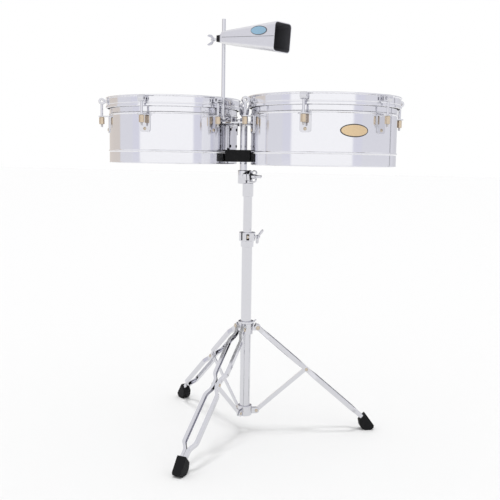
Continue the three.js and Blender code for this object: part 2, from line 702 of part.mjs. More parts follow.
function bumper() {
  const flat = betweenDrums(BUMPER.depth, BEAD_DEPTH + GAP, BUMPER.height);
  const hole = bar(POST.radius + GAP, -BUMPER.height, BUMPER.height, ROUND_SIDES);
  const made = cut(flat, hole.translate([POST_OFFSET, 0, 0]));
  return mesh(
    "bumper_block",
    made.translate([0, 0, BUMPER.bottom + BUMPER.height / 2]),
    finishes.rubber,
  );
}

// ---- Cowbell and its rod ------------------------------------------------------------------------

const rodLegAzimuth = Math.atan2(EYE.y - COWBELL_ROD.y, EYE.x - COWBELL_ROD.x);
const rodLegLength = Math.hypot(EYE.x - COWBELL_ROD.x, EYE.y - COWBELL_ROD.y);

// Turns a piece about +Z to run along the rod's level leg, centred in the eye.
function alongRodLeg(body) {
  const level = body.rotate([0, 90, 0]).rotate([0, 0, THREE.MathUtils.radToDeg(rodLegAzimuth)]);
  return level.translate([EYE.x, EYE.y, rodLegHeight]);
}

function cowbellRod() {
  const { radius, x, y, top } = COWBELL_ROD;
  const upright = bar(radius, rodLegHeight, top).translate([x, y, 0]);
  const levelLeg = alongRodLeg(bar(radius, -rodLegLength, EYE.length / 2 + EYE.tail));
  const corner = solid(new THREE.SphereGeometry(radius, SMALL_SIDES, SMALL_SIDES));
  const made = join(upright, levelLeg, corner.translate([x, y, rodLegHeight]));
  return mesh("cowbell_rod", made, finishes.chrome);
}

// The corners of a rounded rectangle across the X axis.
function roundedRing(x, width, height, corner) {
  const shape = new THREE.Shape();
  const [w, h] = [width / 2 - corner, height / 2 - corner];
  shape.absarc(w, h, corner, 0, Math.PI / 2, false);
  shape.absarc(-w, h, corner, Math.PI / 2, Math.PI, false);
  shape.absarc(-w, -h, corner, Math.PI, 1.5 * Math.PI, false);
  shape.absarc(w, -h, corner, 1.5 * Math.PI, 2 * Math.PI, false);
  return shape.getPoints(CORNER_STEPS).map((p) => new THREE.Vector3(x, p.x, p.y));
}

// The bell flares along +X from the clamp block at its closed end, and points down a little.
// The rod stands at x = 0.
function cowbell() {
  const { back, width, height } = COWBELL_BLOCK;
  const { length, wall, pitch } = COWBELL;
  const [end, mouth] = [COWBELL_END, COWBELL_MOUTH];
  const skin = (from, to, inset) =>
    lofted([
      roundedRing(from, end.width - inset, end.height - inset, end.corner),
      roundedRing(to, mouth.width - inset, mouth.height - inset, mouth.corner),
    ]).rotate([0, pitch, 0]);
  const start = COWBELL_ROD.radius + COWBELL.start;
  const bell = cut(skin(start, length, 0), skin(start + wall, length + wall, 2 * wall));
  const clamp = block(-back, -width / 2, -height / 2, back + start + wall / 2, width, height);
  const rodHole = bar(COWBELL_ROD.radius + GAP, -height, height);
  const screwHole = bar(PIN_RADIUS + PIN_PLAY, -back - BEYOND, 0).rotate([0, 90, 0]);
  return cut(join(bell, clamp), rodHole, screwHole);
}

function cowbellScrew() {
  const tip = COWBELL_ROD.radius + GAP;
  const screw = wingScrew({ ...COWBELL_WING, shank: COWBELL_SHANK });
  return screw.translate([tip, 0, 0]).rotate([0, 0, 180]);
}

function cowbellGroup() {
  const bell = mesh("cowbell", cowbell(), finishes.chrome);
  bell.rotation.z = degrees(COWBELL.azimuth);
  const screw = mesh("cowbell_wing_screw", cowbellScrew(), finishes.chrome);
  screw.rotation.z = degrees(COWBELL.azimuth);
  return group([COWBELL_ROD.x, COWBELL_ROD.y, COWBELL.height], bell, screw);
}

// ---- Drums --------------------------------------------------------------------------------------

// The pressed-steel shell, with a raised bead near each end.
function shell(radius) {
  const headUnder = HOOP_TOP - RIM_HEIGHT - HEAD_THICKNESS;
  const bead = (middle) => [
    [radius, middle - BEAD_HEIGHT / 2],
    [radius + BEAD_DEPTH, middle],
    [radius, middle + BEAD_HEIGHT / 2],
  ];
  return turned(
    [
      [radius - SHELL_WALL, SHELL_BOTTOM],
      [radius, SHELL_BOTTOM],
      ...bead(SHELL_BOTTOM + LOWER_BEAD_RISE),
      ...bead(HOOP_TOP - UPPER_BEAD_DROP),
      [radius, headUnder - GAP],
      [radius - SHELL_WALL, headUnder - GAP],
    ],
    DRUM_SIDES,
  );
}

// The plastic head: a film over the shell's edge, and the ring round its rim.
function head(radius) {
  const top = HOOP_TOP - RIM_HEIGHT;
  const collar = radius + GAP + FLESH_RING.fit;
  const ringTop = top - FLESH_RING.drop + FLESH_RING.height / 2;
  const ringBottom = ringTop - FLESH_RING.height;
  const outline = [
    [0, top - HEAD_THICKNESS],
    [collar, top - HEAD_THICKNESS],
    [collar, ringBottom],
    [collar + FLESH_RING.width, ringBottom],
    [collar + FLESH_RING.width, ringTop],
    [collar + HEAD_THICKNESS, ringTop],
    [collar + HEAD_THICKNESS, top],
    [0, top],
  ].map(([r, z]) => new THREE.Vector2(r, z));
  return solid(new THREE.LatheGeometry(outline, DRUM_SIDES).rotateX(Math.PI / 2));
}

// A piece made at a lug's rod axis (+X outwards) repeated round a drum.
function atEachLug(body, radius) {
  const turns = Array.from({ length: LUG_COUNT }, (_, i) => lugAzimuth(i));
  const placed = body.translate([radius + ROD_OFFSET, 0, 0]);
  return join(...turns.map((turn) => placed.rotate([0, 0, turn])));
}

const lugAzimuth = (index) => LUG_FIRST_AZIMUTH + (index * 360) / LUG_COUNT;

// The steel hoop with its inner ledge, and the barrels and tension rods that hang on it.
function hoop(radius) {
  const outer = radius + HOOP.reach;
  const inner = outer - HOOP.wall;
  const ledge = HOOP_TOP - RIM_HEIGHT - FLESH_RING.drop + FLESH_RING.height / 2 + GAP;
  const ledgeInner = radius + GAP + FLESH_RING.fit + HOOP.ledgeFit;
  const ring = turned(
    [
      [inner, HOOP_TOP - HOOP.height],
      [outer, HOOP_TOP - HOOP.height],
      [outer, HOOP_TOP],
      [inner, HOOP_TOP],
      [inner, ledge + HOOP.ledge],
      [ledgeInner, ledge + HOOP.ledge],
      [ledgeInner, ledge],
      [inner, ledge],
    ],
    DRUM_SIDES,
  );
  const barrelHeight = HOOP_TOP - BARREL.radius - GAP;
  const barrel = crossBar(BARREL.radius, 0, barrelHeight, -BARREL.width / 2, BARREL.width / 2);
  const strap = block(
    HOOP.reach - ROD_OFFSET - BITE,
    -BARREL.width / 2,
    barrelHeight - BARREL.strap / 2,
    ROD_OFFSET - HOOP.reach,
    BARREL.width,
    BARREL.strap,
  );
  const rod = bar(ROD_RADIUS, HOOP_TOP - ROD_DROP, barrelHeight);
  return join(ring, atEachLug(join(barrel, strap, rod), radius));
}

// A bent bracket on the shell; its shelf has a hole for the tension rod.
function lugBracket(radius) {
  const { width, height, thickness, drop, reach } = LUG_PLATE;
  const top = HOOP_TOP - drop;
  const face = radius + GAP;
  const back = uprightPlate(
    polygon([
      [face, top - height],
      [face + thickness, top - height],
      [face + thickness, top - thickness],
      [radius + reach, top - thickness],
      [radius + reach, top],
      [face, top],
    ]),
    width,
  );
  const hole = bar(ROD_RADIUS + PIN_PLAY, top - height, top + height);
  return cut(back, hole.translate([radius + ROD_OFFSET, 0, 0]));
}

function tensionNut() {
  const bore = ROD_RADIUS + PIN_PLAY;
  const top = HOOP_TOP - LUG_PLATE.drop - LUG_PLATE.thickness - GAP;
  const { radius, height, bevel } = NUT;
  const profile = [
    [bore, top - height],
    [radius - bevel, top - height],
    [radius, top - height + bevel],
    [radius, top - bevel],
    [radius - bevel, top],
    [bore, top],
  ];
  return turned(profile, SMALL_SIDES);
}

// The curved plate on a drum's shell that faces the post, with a flange under the bridge.
function drumMount(radius) {
  const bottom = BUMPER.bottom + BUMPER.height + GAP;
  const top = BRIDGE.bottom - GAP;
  const face = radius + GAP;
  const ring = tube(face + MOUNT.thickness, face, bottom, top, DRUM_SIDES);
  const window = block(0, -MOUNT.width / 2, bottom, 2 * radius, MOUNT.width, top - bottom);
  const flangeReach = DRUM_GAP / 2 - POST.radius - MOUNT.postGap;
  const flange = block(
    radius,
    -MOUNT.flangeWidth / 2,
    top - MOUNT.flange,
    flangeReach,
    MOUNT.flangeWidth,
    MOUNT.flange,
  );
  const behind = bar(face, bottom - BEYOND, top + BEYOND, DRUM_SIDES);
  return join(ring.intersect(window), cut(flange, behind));
}

// One drum with its own centre at the origin; `turn` is the direction of the post.
function drum(size, radius, centreX, turn) {
  const lugs = Array.from({ length: LUG_COUNT }, (_, i) => {
    const bracket = mesh(`lug_bracket_${size}_${i + 1}`, lugBracket(radius), finishes.chrome);
    const nut = mesh(`tension_nut_${size}_${i + 1}`, tensionNut(), finishes.brass);
    nut.position.x = radius + ROD_OFFSET;
    const made = group([0, 0, 0], bracket, nut);
    made.rotation.z = degrees(lugAzimuth(i));
    return made;
  });
  const mount = mesh(`drum_mount_${size}`, drumMount(radius), finishes.chrome);
  mount.rotation.z = turn;
  return group(
    [centreX, 0, 0],
    mesh(`shell_${size}`, shell(radius), finishes.chrome),
    mesh(`head_${size}`, head(radius), finishes.head),
    mesh(`hoop_${size}`, hoop(radius), finishes.chrome),
    mount,
    ...lugs,
  );
}

// ---- The whole instrument -------------------------------------------------------------------------

const timbales = group(
  [0, 0, 0],
  tripod(),
  baseTube(),
  heightClamp(),
  heightClampScrew(),
  mast(),
  tilterHead(),
  tilterScrew(),
  post(),
  bridge(),
  bridgeNut(),
  bumper(),
  cowbellRod(),
  cowbellGroup(),
  drum("14in", SMALL_DRUM_RADIUS, smallDrumX, 0),
  drum("15in", LARGE_DRUM_RADIUS, largeDrumX, Math.PI),
);

// The origin is the centre of the footprint, on the floor.
const footprint = new THREE.Box3().setFromObject(timbales, true);
const centre = footprint.getCenter(new THREE.Vector3());
timbales.position.set(-centre.x, -centre.y, 0);

export default timbales;
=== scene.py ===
"""Timbales: the looks of two drums, a cowbell and their folding stand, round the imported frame.

Shapes are worked out in millimetres about the base tube's upright axis, with the floor at
height 0, and become meshes in metres in the frame's own coordinates.
"""
import json
import logging
import math
from dataclasses import dataclass
from enum import Enum
from typing import Any, Callable, Iterable, Sequence

import bmesh
import bpy
from mathutils import Matrix, Vector

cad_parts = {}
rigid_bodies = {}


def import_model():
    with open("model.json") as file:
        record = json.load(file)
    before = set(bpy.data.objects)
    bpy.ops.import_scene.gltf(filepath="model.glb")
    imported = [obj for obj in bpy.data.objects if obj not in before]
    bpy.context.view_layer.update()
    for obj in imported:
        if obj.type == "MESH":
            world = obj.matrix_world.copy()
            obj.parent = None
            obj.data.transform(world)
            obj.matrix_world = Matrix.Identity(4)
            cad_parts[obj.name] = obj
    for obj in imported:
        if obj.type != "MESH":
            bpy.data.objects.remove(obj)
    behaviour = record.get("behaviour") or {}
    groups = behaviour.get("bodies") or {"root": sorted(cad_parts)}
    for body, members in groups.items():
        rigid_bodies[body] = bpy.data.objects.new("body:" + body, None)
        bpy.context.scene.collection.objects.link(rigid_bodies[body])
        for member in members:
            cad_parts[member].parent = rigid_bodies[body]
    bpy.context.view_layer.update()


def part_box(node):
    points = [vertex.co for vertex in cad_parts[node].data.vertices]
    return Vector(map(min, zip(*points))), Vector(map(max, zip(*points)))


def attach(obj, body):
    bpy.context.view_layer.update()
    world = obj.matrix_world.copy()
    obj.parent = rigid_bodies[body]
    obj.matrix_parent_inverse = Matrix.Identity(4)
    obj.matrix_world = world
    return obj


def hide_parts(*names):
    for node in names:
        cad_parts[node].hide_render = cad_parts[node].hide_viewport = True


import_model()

LOG = logging.getLogger("timbales")
MM = 0.001
GAP = 0.3
ROD_START = Vector((-31.0, -45.0, 875.5))
ROD_FOOT = Vector((-46.0, -79.0, 875.5))
ROD_TOP = Vector((-46.0, -79.0, 1131.0))
Point = tuple[float, ...]
Colour = tuple[float, float, float]


# ---- Places read from the frame -------------------------------------------------------------


def base_axis() -> Vector:
    """Returns: where the base tube's axis meets the floor, in the frame's metres."""
    low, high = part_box("base_tube")
    return Vector(((low[0] + high[0]) / 2, (low[1] + high[1]) / 2, 0.0))


ORIGIN = base_axis()


@dataclass(frozen=True)
class Box:
    """The lowest and highest corners of a CAD node, in millimetres about the base axis."""

    low: Vector
    high: Vector

    @classmethod
    def of(cls, node: str) -> "Box":
        """Args: node: a CAD node's name. Returns: its box."""
        low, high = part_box(node)
        return cls((Vector(low) - ORIGIN) / MM, (Vector(high) - ORIGIN) / MM)

    @property
    def centre(self) -> Vector:
        """Returns: the middle of the box."""
        return (self.low + self.high) / 2

    @property
    def size(self) -> Vector:
        """Returns: the box's three sides."""
        return self.high - self.low


# ---- Node graphs, for finishes and for repeats -------------------------------------------------


class Wire:
    """A socket whose arithmetic adds Math nodes to its graph."""

    def __init__(self, graph: "Graph", socket: Any) -> None:
        """Args: graph: the graph it belongs to. socket: the output socket it stands for."""
        self.graph = graph
        self.socket = socket

    def _math(self, operation: str, *values: Any) -> "Wire":
        """Args: operation: of the Math node. values: its inputs. Returns: its result."""
        return self.graph.add("Math", {"operation": operation}, *values)

    def __add__(self, other: Any) -> "Wire":
        """Returns: the sum."""
        return self._math("ADD", self, other)

    def __sub__(self, other: Any) -> "Wire":
        """Returns: the difference."""
        return self._math("SUBTRACT", self, other)

    def __rsub__(self, other: Any) -> "Wire":
        """Returns: the difference from a plain number."""
        return self._math("SUBTRACT", other, self)

    def __mul__(self, other: Any) -> "Wire":
        """Returns: the product."""
        return self._math("MULTIPLY", self, other)

    def __truediv__(self, other: Any) -> "Wire":
        """Returns: the quotient."""
        return self._math("DIVIDE", self, other)

    def __pow__(self, other: Any) -> "Wire":
        """Returns: the power."""
        return self._math("POWER", self, other)

    __radd__ = __add__
    __rmul__ = __mul__

    def ramp(self, *stops: tuple[float, Any]) -> "Wire":
        """Args: stops: positions with a grey level or a colour. Returns: the ramp's colour."""
        return self.graph.ramp(self, stops)


class Graph:
    """A node tree that is written as calls and expressions."""

    def __init__(self, tree: bpy.types.NodeTree, family: str) -> None:
        """Args: tree: the tree to fill. family: Shader or Geometry, for the nodes' types."""
        self.tree = tree
        self.family = family

    def node(self, kind: str, settings: dict[str, Any], *values: Any, **named: Any) -> Any:
        """Adds a node.

        Args:
            kind: its type, without the family's prefix.
            settings: properties that are set before its sockets.
            values: what its first sockets take, in order; None leaves one alone.
            named: what sockets with these names take; an underscore stands for a space.
        Returns:
            The node.
        """
        prefix = "ShaderNode" if kind in ("Math", "Mix", "CombineXYZ", "VectorMath") else self.family
        made = self.tree.nodes.new(prefix + kind)
        for key, value in settings.items():
            setattr(made, key, value)
        sockets = [s for s in made.inputs if s.enabled]
        for socket, value in zip(sockets, values):
            self.feed(socket, value)
        for key, value in named.items():
            wanted = key.replace("_", " ")
            self.feed(next(s for s in sockets if s.name == wanted), value)
        return made

    def feed(self, socket: Any, value: Any) -> None:
        """Args: socket: an input. value: a wire, a plain value, or None to leave it alone."""
        if isinstance(value, Wire):
            self.tree.links.new(value.socket, socket)
        elif value is not None:
            socket.default_value = value

    def add(self, kind: str, settings: dict[str, Any], *values: Any, out: str = "", **named: Any) -> Wire:
        """Adds a node as `node` does. Returns: the wire from its output of that name, or the first."""
        made = self.node(kind, settings, *values, **named)
        outputs = [s for s in made.outputs if s.enabled]
        return Wire(self, next((s for s in outputs if s.name == out), outputs[0]))

    def ramp(self, factor: Wire, stops: Sequence[tuple[float, Any]]) -> Wire:
        """Args: factor: the position. stops: positions with levels or colours. Returns: colour."""
        made = self.node("ValToRGB", {}, factor)
        elements = made.color_ramp.elements
        while len(elements) < len(stops):
            elements.new(1.0)
        for element, (position, level) in zip(elements, stops):
            element.position = position
            colour = level if isinstance(level, tuple) else (level,) * 3
            element.color = (*colour, 1.0)
        return Wire(self, made.outputs["Color"])

    def blend(self, factor: Any, first: Any, second: Any) -> Wire:
        """Returns: a colour between two, by the factor."""
        settings = {"data_type": "RGBA"}
        return self.add("Mix", settings, factor, _opaque(first), _opaque(second))


def _opaque(value: Any) -> Any:
    """Args: value: an input. Returns: it, and a colour of three numbers made opaque."""
    return (*value, 1.0) if isinstance(value, tuple) and len(value) == 3 else value


# ---- Finishes -------------------------------------------------------------------------------


class Slot(Enum):
    """The record's material slots."""

    CHROME = "chrome"
    BRASS = "brass"
    RUBBER = "rubber"
    DRUMHEAD = "drumhead"


@dataclass(frozen=True)
class Finish:
    """What every finish has: a name, the record's slot and a colour.

    `haze` is how much its roughness varies, `swell` and `grain` are the depths in millimetres
    of its slow and its fine unevenness, and `grain_size` is the size of the fine one.
    """

    name: str
    slot: Slot
    colour: Colour
    metallic: float = 0.0
    roughness: float = 0.5
    haze: float = 0.1
    shade: float = 0.92
    swell: float = 0.0
    swell_size: float = 60.0
    grain: float = 0.0
    grain_size: float = 0.6
    coat: float = 0.0
    streak: float = 1.0
    specular: float = 0.5

    def material(self) -> bpy.types.Material:
        """Returns: the finish's material, made once."""
        made = bpy.data.materials.get(self.name)
        if made is not None:
            return made
        made = bpy.data.materials.new(self.name)
        made.use_nodes = True
        made.node_tree.nodes.clear()
        made.diffuse_color = (*self.colour, 1.0)
        self.wire(Graph(made.node_tree, "ShaderNode"))
        return made

    def noise(self, graph: Graph, size: float, detail: float, streak: float = 1.0) -> Wire:
        """Args: size: of its blobs in millimetres. streak: how long they are upright."""
        place = graph.add("TexCoord", {}, out="Object")
        scale = 1.0 / (size * MM)
        mapped = graph.add("Mapping", {}, place, None, None, (scale, scale, scale / streak))
        return graph.add("TexNoise", {}, mapped, None, 1.0, detail, out="Fac")

    def wire(self, graph: Graph) -> None:
        """Args: graph: the material's graph, which it fills."""
        shader = graph.node(
            "BsdfPrincipled", {}, Metallic=self.metallic, Base_Color=self.paint(graph),
            Roughness=self.gloss(graph), Coat_Weight=self.coat, Normal=self.relief(graph),
            Specular_IOR_Level=self.specular,
        )
        graph.node("OutputMaterial", {}, Wire(graph, shader.outputs[0]))

    def paint(self, graph: Graph) -> Wire:
        """Returns: the colour, a little darker in slow patches."""
        dark = tuple(self.shade * c for c in self.colour)
        return graph.blend(self.noise(graph, 40.0, 2.0, self.streak), dark, self.colour)

    def gloss(self, graph: Graph) -> Wire:
        """Returns: the roughness, uneven by handling marks and fine wear."""
        marks = self.noise(graph, 25.0, 4.0, self.streak) ** 3.0
        wear = self.noise(graph, 1.5, 2.0, self.streak)
        return self.roughness + marks * self.haze + wear * (self.haze / 4)

    def relief(self, graph: Graph) -> Wire | None:
        """Returns: the bumped normal, or None on a flat finish."""
        normal = None
        for depth, size in ((self.swell, self.swell_size), (self.grain, self.grain_size)):
            if depth > 0:
                height = self.noise(graph, size, 2.0, self.streak)
                normal = graph.add("Bump", {}, 1.0, depth * MM, Height=height, Normal=normal)
        return normal


@dataclass(frozen=True)
class DrumFilm(Finish):
    """The coated film of a head: a fine sprayed grain and the marks of playing in its middle."""

    def paint(self, graph: Graph) -> Wire:
        """Returns: the film's colour, greyed in the small marks of the sticks."""
        marks = self.noise(graph, 9.0, 5.0).ramp((0.60, 0.0), (0.75, 1.0))
        dark = tuple(self.shade * c for c in self.colour)
        return graph.blend(marks, self.colour, dark)


CHROME = Finish("chrome_plate", Slot.CHROME, (0.70, 0.70, 0.735), 1.0, 0.05, 0.06, 0.95, swell=0.012)
SHELL_CHROME = Finish(
    "chrome_shell", Slot.CHROME, (0.83, 0.83, 0.86), 1.0, 0.07, 0.07, 0.975, swell=0.03, swell_size=90.0,
)
SATIN = Finish(
    "satin_steel", Slot.CHROME, (0.80, 0.80, 0.83), 1.0, 0.26, 0.12, 0.96, grain=0.006, grain_size=0.5,
)
# Near-black: the real dark seams and badge rim of the bell, and the painted shade laid over the bell's
# inside.
DARK_TRIM_AND_SHADE = Finish(
    "bell_inside", Slot.CHROME, (0.085, 0.085, 0.095), 0.0, 0.55, 0.2, 0.8, grain=0.02, grain_size=0.8,
)
BRASS = Finish("brass_plate", Slot.BRASS, (0.66, 0.55, 0.42), 1.0, 0.16, 0.15, 0.9, swell=0.01,
               swell_size=4.0)
STEEL_SCREW = Finish("screw_plate", Slot.BRASS, (0.62, 0.54, 0.44), 1.0, 0.2, 0.15, 0.9)
RUBBER = Finish(
    "black_rubber", Slot.RUBBER, (0.012, 0.012, 0.013), 0.0, 0.50, 0.3, 0.7, grain=0.05, grain_size=0.7,
    specular=0.12,
)
# Black nylon of the real dark screws, washer and nut, also used for the painted shade sleeve inside the
# height clamp.
NYLON_AND_SHADE = Finish("black_nylon", Slot.RUBBER, (0.014, 0.014, 0.015), 0.0, 0.38, 0.2, 0.8, grain=0.02,
               specular=0.15)
FILM = DrumFilm(
    "coated_film", Slot.DRUMHEAD, (0.86, 0.86, 0.83), 0.0, 0.55, 0.2, 0.93, grain=0.05, grain_size=0.8,
)
BADGE_TAN = Finish("badge_tan", Slot.BRASS, (0.80, 0.60, 0.36), 0.35, 0.32, 0.1, 0.95, coat=0.4)
BADGE_BLACK = Finish("badge_black", Slot.RUBBER, (0.01, 0.01, 0.012), 0.0, 0.3, 0.1, 0.8, coat=0.5)
BADGE_BLUE = Finish("badge_blue", Slot.RUBBER, (0.30, 0.52, 0.70), 0.0, 0.35, 0.1, 0.9, coat=0.4)


# ---- Shapes ---------------------------------------------------------------------------------


def curved(start: Vector, corner: Vector, end: Vector, steps: int) -> list[tuple[float, float]]:
    """Args: steps: facets of the curve. Returns: points of a curve that rounds a corner."""
    points = []
    for k in range(steps + 1):
        t = k / steps
        p = start * (1 - t) ** 2 + corner * 2 * t * (1 - t) + end * t ** 2
        points.append((p.x, p.y))
    return points


def softened(corners: Sequence[Point], radius: float = 0.0, steps: int = 4) -> list[tuple[float, float]]:
    """Rounds the corners of a closed outline.

    Args:
        corners: its corners; a third number is that corner's own radius.
        radius: the radius of the others.
        steps: facets of each rounded corner.
    Returns:
        The outline's points.
    """
    points: list[tuple[float, float]] = []
    count = len(corners)
    for i, corner in enumerate(corners):
        here = Vector(corner[:2])
        before = Vector(corners[i - 1][:2]) - here
        after = Vector(corners[(i + 1) % count][:2]) - here
        wanted = corner[2] if len(corner) > 2 else radius
        turn = math.pi - before.angle(after, math.pi)
        reach = min(wanted * math.tan(turn / 2), 0.49 * before.length, 0.49 * after.length)
        if reach < 1e-3:
            points.append((here.x, here.y))
            continue
        start, end = here + before.normalized() * reach, here + after.normalized() * reach
        points += curved(start, here, end, steps)
    return points


def arc(x: float, y: float, radius: float, start: float, end: float,
        steps: int = 16) -> list[tuple[float, float]]:
    """Returns: points of an arc about (x, y), from one angle to another in degrees."""
    turns = (math.radians(start + (end - start) * k / steps) for k in range(steps + 1))
    return [(x + radius * math.cos(t), y + radius * math.sin(t)) for t in turns]


class Axis(Enum):
    """The three directions."""

    X = "X"
    Y = "Y"
    Z = "Z"


class Form:
    """A shape made of points in millimetres and of faces."""

    def __init__(self, points: Iterable[Vector], faces: Iterable[Sequence[int]]) -> None:
        """Args: points: its corners. faces: each face's corners, by their numbers."""
        self.points = list(points)
        self.faces = [tuple(face) for face in faces]

    # Making

    @classmethod
    def lathe(cls, profile: Sequence[Point], sides: int = 64, closed: bool = True) -> "Form":
        """Turns a profile about Z.

        Args:
            profile: its (radius, height) points.
            sides: of each ring.
            closed: whether its last point joins its first; an open one starts and ends on Z.
        Returns:
            The closed solid.
        """
        made = bmesh.new()
        rings = []
        for radius, height in profile:
            on_axis = radius < 1e-6
            turns = [math.tau * k / sides for k in range(1 if on_axis else sides)]
            rings.append([made.verts.new((radius * math.cos(t), radius * math.sin(t),
                                          height)) for t in turns])
        pairs = list(zip(rings, rings[1:] + rings[:1])) if closed else list(zip(rings, rings[1:]))
        for lower, upper in pairs:
            for k in range(sides):
                corners = [lower[k % len(lower)], lower[(k + 1) % len(lower)],
                           upper[(k + 1) % len(upper)], upper[k % len(upper)]]
                unique = list(dict.fromkeys(corners))
                if len(unique) > 2:
                    made.faces.new(unique)
        return cls._outward(made)

    @classmethod
    def prism(cls, outline: Sequence[Point], low: float, high: float) -> "Form":
        """Returns: an outline in the XY plane raised from one height to another."""
        count = len(outline)
        points = [Vector((p[0], p[1], z)) for z in (low, high) for p in outline]
        sides = [(k, (k + 1) % count, count + (k + 1) % count, count + k) for k in range(count)]
        caps = [tuple(reversed(range(count))), tuple(range(count, 2 * count))]
        return cls(points, sides + caps).outward()

    @classmethod
    def upright(cls, outline: Sequence[Point], thickness: float) -> "Form":
        """Returns: an outline in the XZ plane with a thickness centred on it."""
        return cls.prism(outline, -thickness / 2, thickness / 2).turn(Axis.X, 90)

    @classmethod
    def block(cls, low: Sequence[float], high: Sequence[float]) -> "Form":
        """Returns: a box between two corners."""
        corners = [(low[0], low[1]), (high[0], low[1]), (high[0], high[1]), (low[0], high[1])]
        return cls.prism(corners, low[2], high[2])

    @classmethod
    def tube(cls, radius: float, low: float, high: float, bore: float = 0.0, edge: float = 0.6,
             sides: int = 64) -> "Form":
        """Makes a round bar or a tube about Z with softened edges.

        Args:
            radius: its outside.
            low: its lower end.
            high: its upper end.
            bore: the radius of its hole; 0 makes it solid.
            edge: the radius of its edges.
            sides: of each ring.
        Returns:
            The solid.
        """
        if bore > 0:
            corners = [(bore, low), (radius, low), (radius, high), (bore, high)]
            return cls.lathe(softened(corners, min(edge, (radius - bore) / 2.1), 3), sides)
        corners = [(0.0, low, 0.0), (radius, low), (radius, high), (0.0, high, 0.0)]
        return cls.lathe(softened(corners, edge, 3), sides, closed=False)

    @classmethod
    def loft(cls, rings: Sequence[Sequence[Vector]], loop: bool = False) -> "Form":
        """Args: rings: closed rings with the same count. loop: whether the last joins the first."""
        count = len(rings[0])
        points = [p for ring in rings for p in ring]
        faces = []
        for j in range(len(rings) if loop else len(rings) - 1):
            first, second = j * count, ((j + 1) % len(rings)) * count
            faces += [(first + k, first + (k + 1) % count, second + (k + 1) % count, second + k)
                      for k in range(count)]
        if not loop:
            faces += [tuple(reversed(range(count))), tuple(range(len(points) - count, len(points)))]
        return cls(points, faces).outward()

    @classmethod
    def of_mesh(cls, mesh: bpy.types.Mesh) -> "Form":
        """Args: mesh: a mesh in millimetres. Returns: its shape."""
        return cls([v.co.copy() for v in mesh.vertices], [tuple(p.vertices) for p in mesh.polygons])

    @classmethod
    def _outward(cls, made: bmesh.types.BMesh) -> "Form":
        """Args: made: a closed mesh, which is freed. Returns: its shape, faces outward."""
        bmesh.ops.recalc_face_normals(made, faces=made.faces)
        made.verts.index_update()
        shape = cls([v.co.copy() for v in made.verts], [[v.index for v in f.verts] for f in made.faces])
        made.free()
        return shape

    # Placing

    def mapped(self, change: Callable[[Vector], Vector]) -> "Form":
        """Args: change: what moves each point. Returns: the changed shape."""
        return Form([change(p) for p in self.points], self.faces)

    def move(self, x: float = 0.0, y: float = 0.0, z: float = 0.0) -> "Form":
        """Returns: the shape moved."""
        step = Vector((x, y, z))
        return self.mapped(lambda p: p + step)

    def turn(self, axis: Axis, degrees: float) -> "Form":
        """Returns: the shape turned about an axis through the origin."""
        spin = Matrix.Rotation(math.radians(degrees), 3, axis.value)
        return self.mapped(lambda p: spin @ p)

    def wrap(self, radius: float) -> "Form":
        """Returns: a plate in the YZ plane bent round a drum whose axis is Z, its X outward."""
        def bend(p: Vector) -> Vector:
            """Args: p: a point of the plate. Returns: its place on the drum."""
            turn = p.y / radius
            return Vector(((radius + p.x) * math.cos(turn), (radius + p.x) * math.sin(turn), p.z))
        return self.mapped(bend)

    # Changing

    def __add__(self, other: "Form") -> "Form":
        """Returns: both shapes as one, without joining their solids."""
        shift = len(self.points)
        moved = [tuple(i + shift for i in face) for face in other.faces]
        return Form(self.points + other.points, self.faces + moved)

    def bmesh(self) -> bmesh.types.BMesh:
        """Returns: the shape as a bmesh in millimetres."""
        made = bmesh.new()
        verts = [made.verts.new(p) for p in self.points]
        for face in self.faces:
            made.faces.new([verts[i] for i in face])
        return made

    def outward(self) -> "Form":
        """Returns: the shape with its faces outward."""
        return Form._outward(self.bmesh())

    def sliced(self, step: float) -> "Form":
        """Returns: the shape with its faces cut along Y, a step apart, so that it can be bent."""
        made = self.bmesh()
        low = min(p.y for p in self.points)
        high = max(p.y for p in self.points)
        for k in range(1, max(2, math.ceil((high - low) / step))):
            parts = made.verts[:] + made.edges[:] + made.faces[:]
            bmesh.ops.bisect_plane(made, geom=parts, plane_co=(0, low + k * step, 0), plane_no=(0, 1, 0))
        return Form._outward(made)

    def mesh(self, name: str, scale: float = 1.0, place: Vector = Vector()) -> bpy.types.Mesh:
        """Args: scale: from millimetres. place: added after it. Returns: a new mesh."""
        made = bpy.data.meshes.new(name)
        made.from_pydata([p * scale + place for p in self.points], [], self.faces)
        made.update()
        return made

    def through(self, name: str, setup: Callable[[bpy.types.Object], list[Any]]) -> "Form":
        """Runs modifiers on the shape.

        Args:
            name: of the scratch object.
            setup: adds the modifiers, and returns scratch objects to remove.
        Returns:
            The changed shape.
        """
        scratch = bpy.data.objects.new(name, self.mesh(name))
        bpy.context.scene.collection.objects.link(scratch)
        helpers = setup(scratch)
        bpy.context.view_layer.update()
        seen = scratch.evaluated_get(bpy.context.evaluated_depsgraph_get())
        mesh = bpy.data.meshes.new_from_object(seen)
        result = Form.of_mesh(mesh)
        for used in [scratch, *helpers]:
            data = used.data
            bpy.data.objects.remove(used)
            bpy.data.meshes.remove(data)
        bpy.data.meshes.remove(mesh)
        return result

    def combine(self, other: "Form", operation: str) -> "Form":
        """Args: operation: DIFFERENCE, UNION or INTERSECT. Returns: the joined or cut solid."""
        def setup(scratch: bpy.types.Object) -> list[Any]:
            """Args: scratch: the object to set up. Returns: the helpers to remove."""
            tool = bpy.data.objects.new("tool", other.mesh("tool"))
            bpy.context.scene.collection.objects.link(tool)
            tool.hide_render = True
            modifier = scratch.modifiers.new("cut", "BOOLEAN")
            modifier.operation = operation
            modifier.solver = "EXACT"
            modifier.object = tool
            return [tool]
        return self.through("blank", setup)

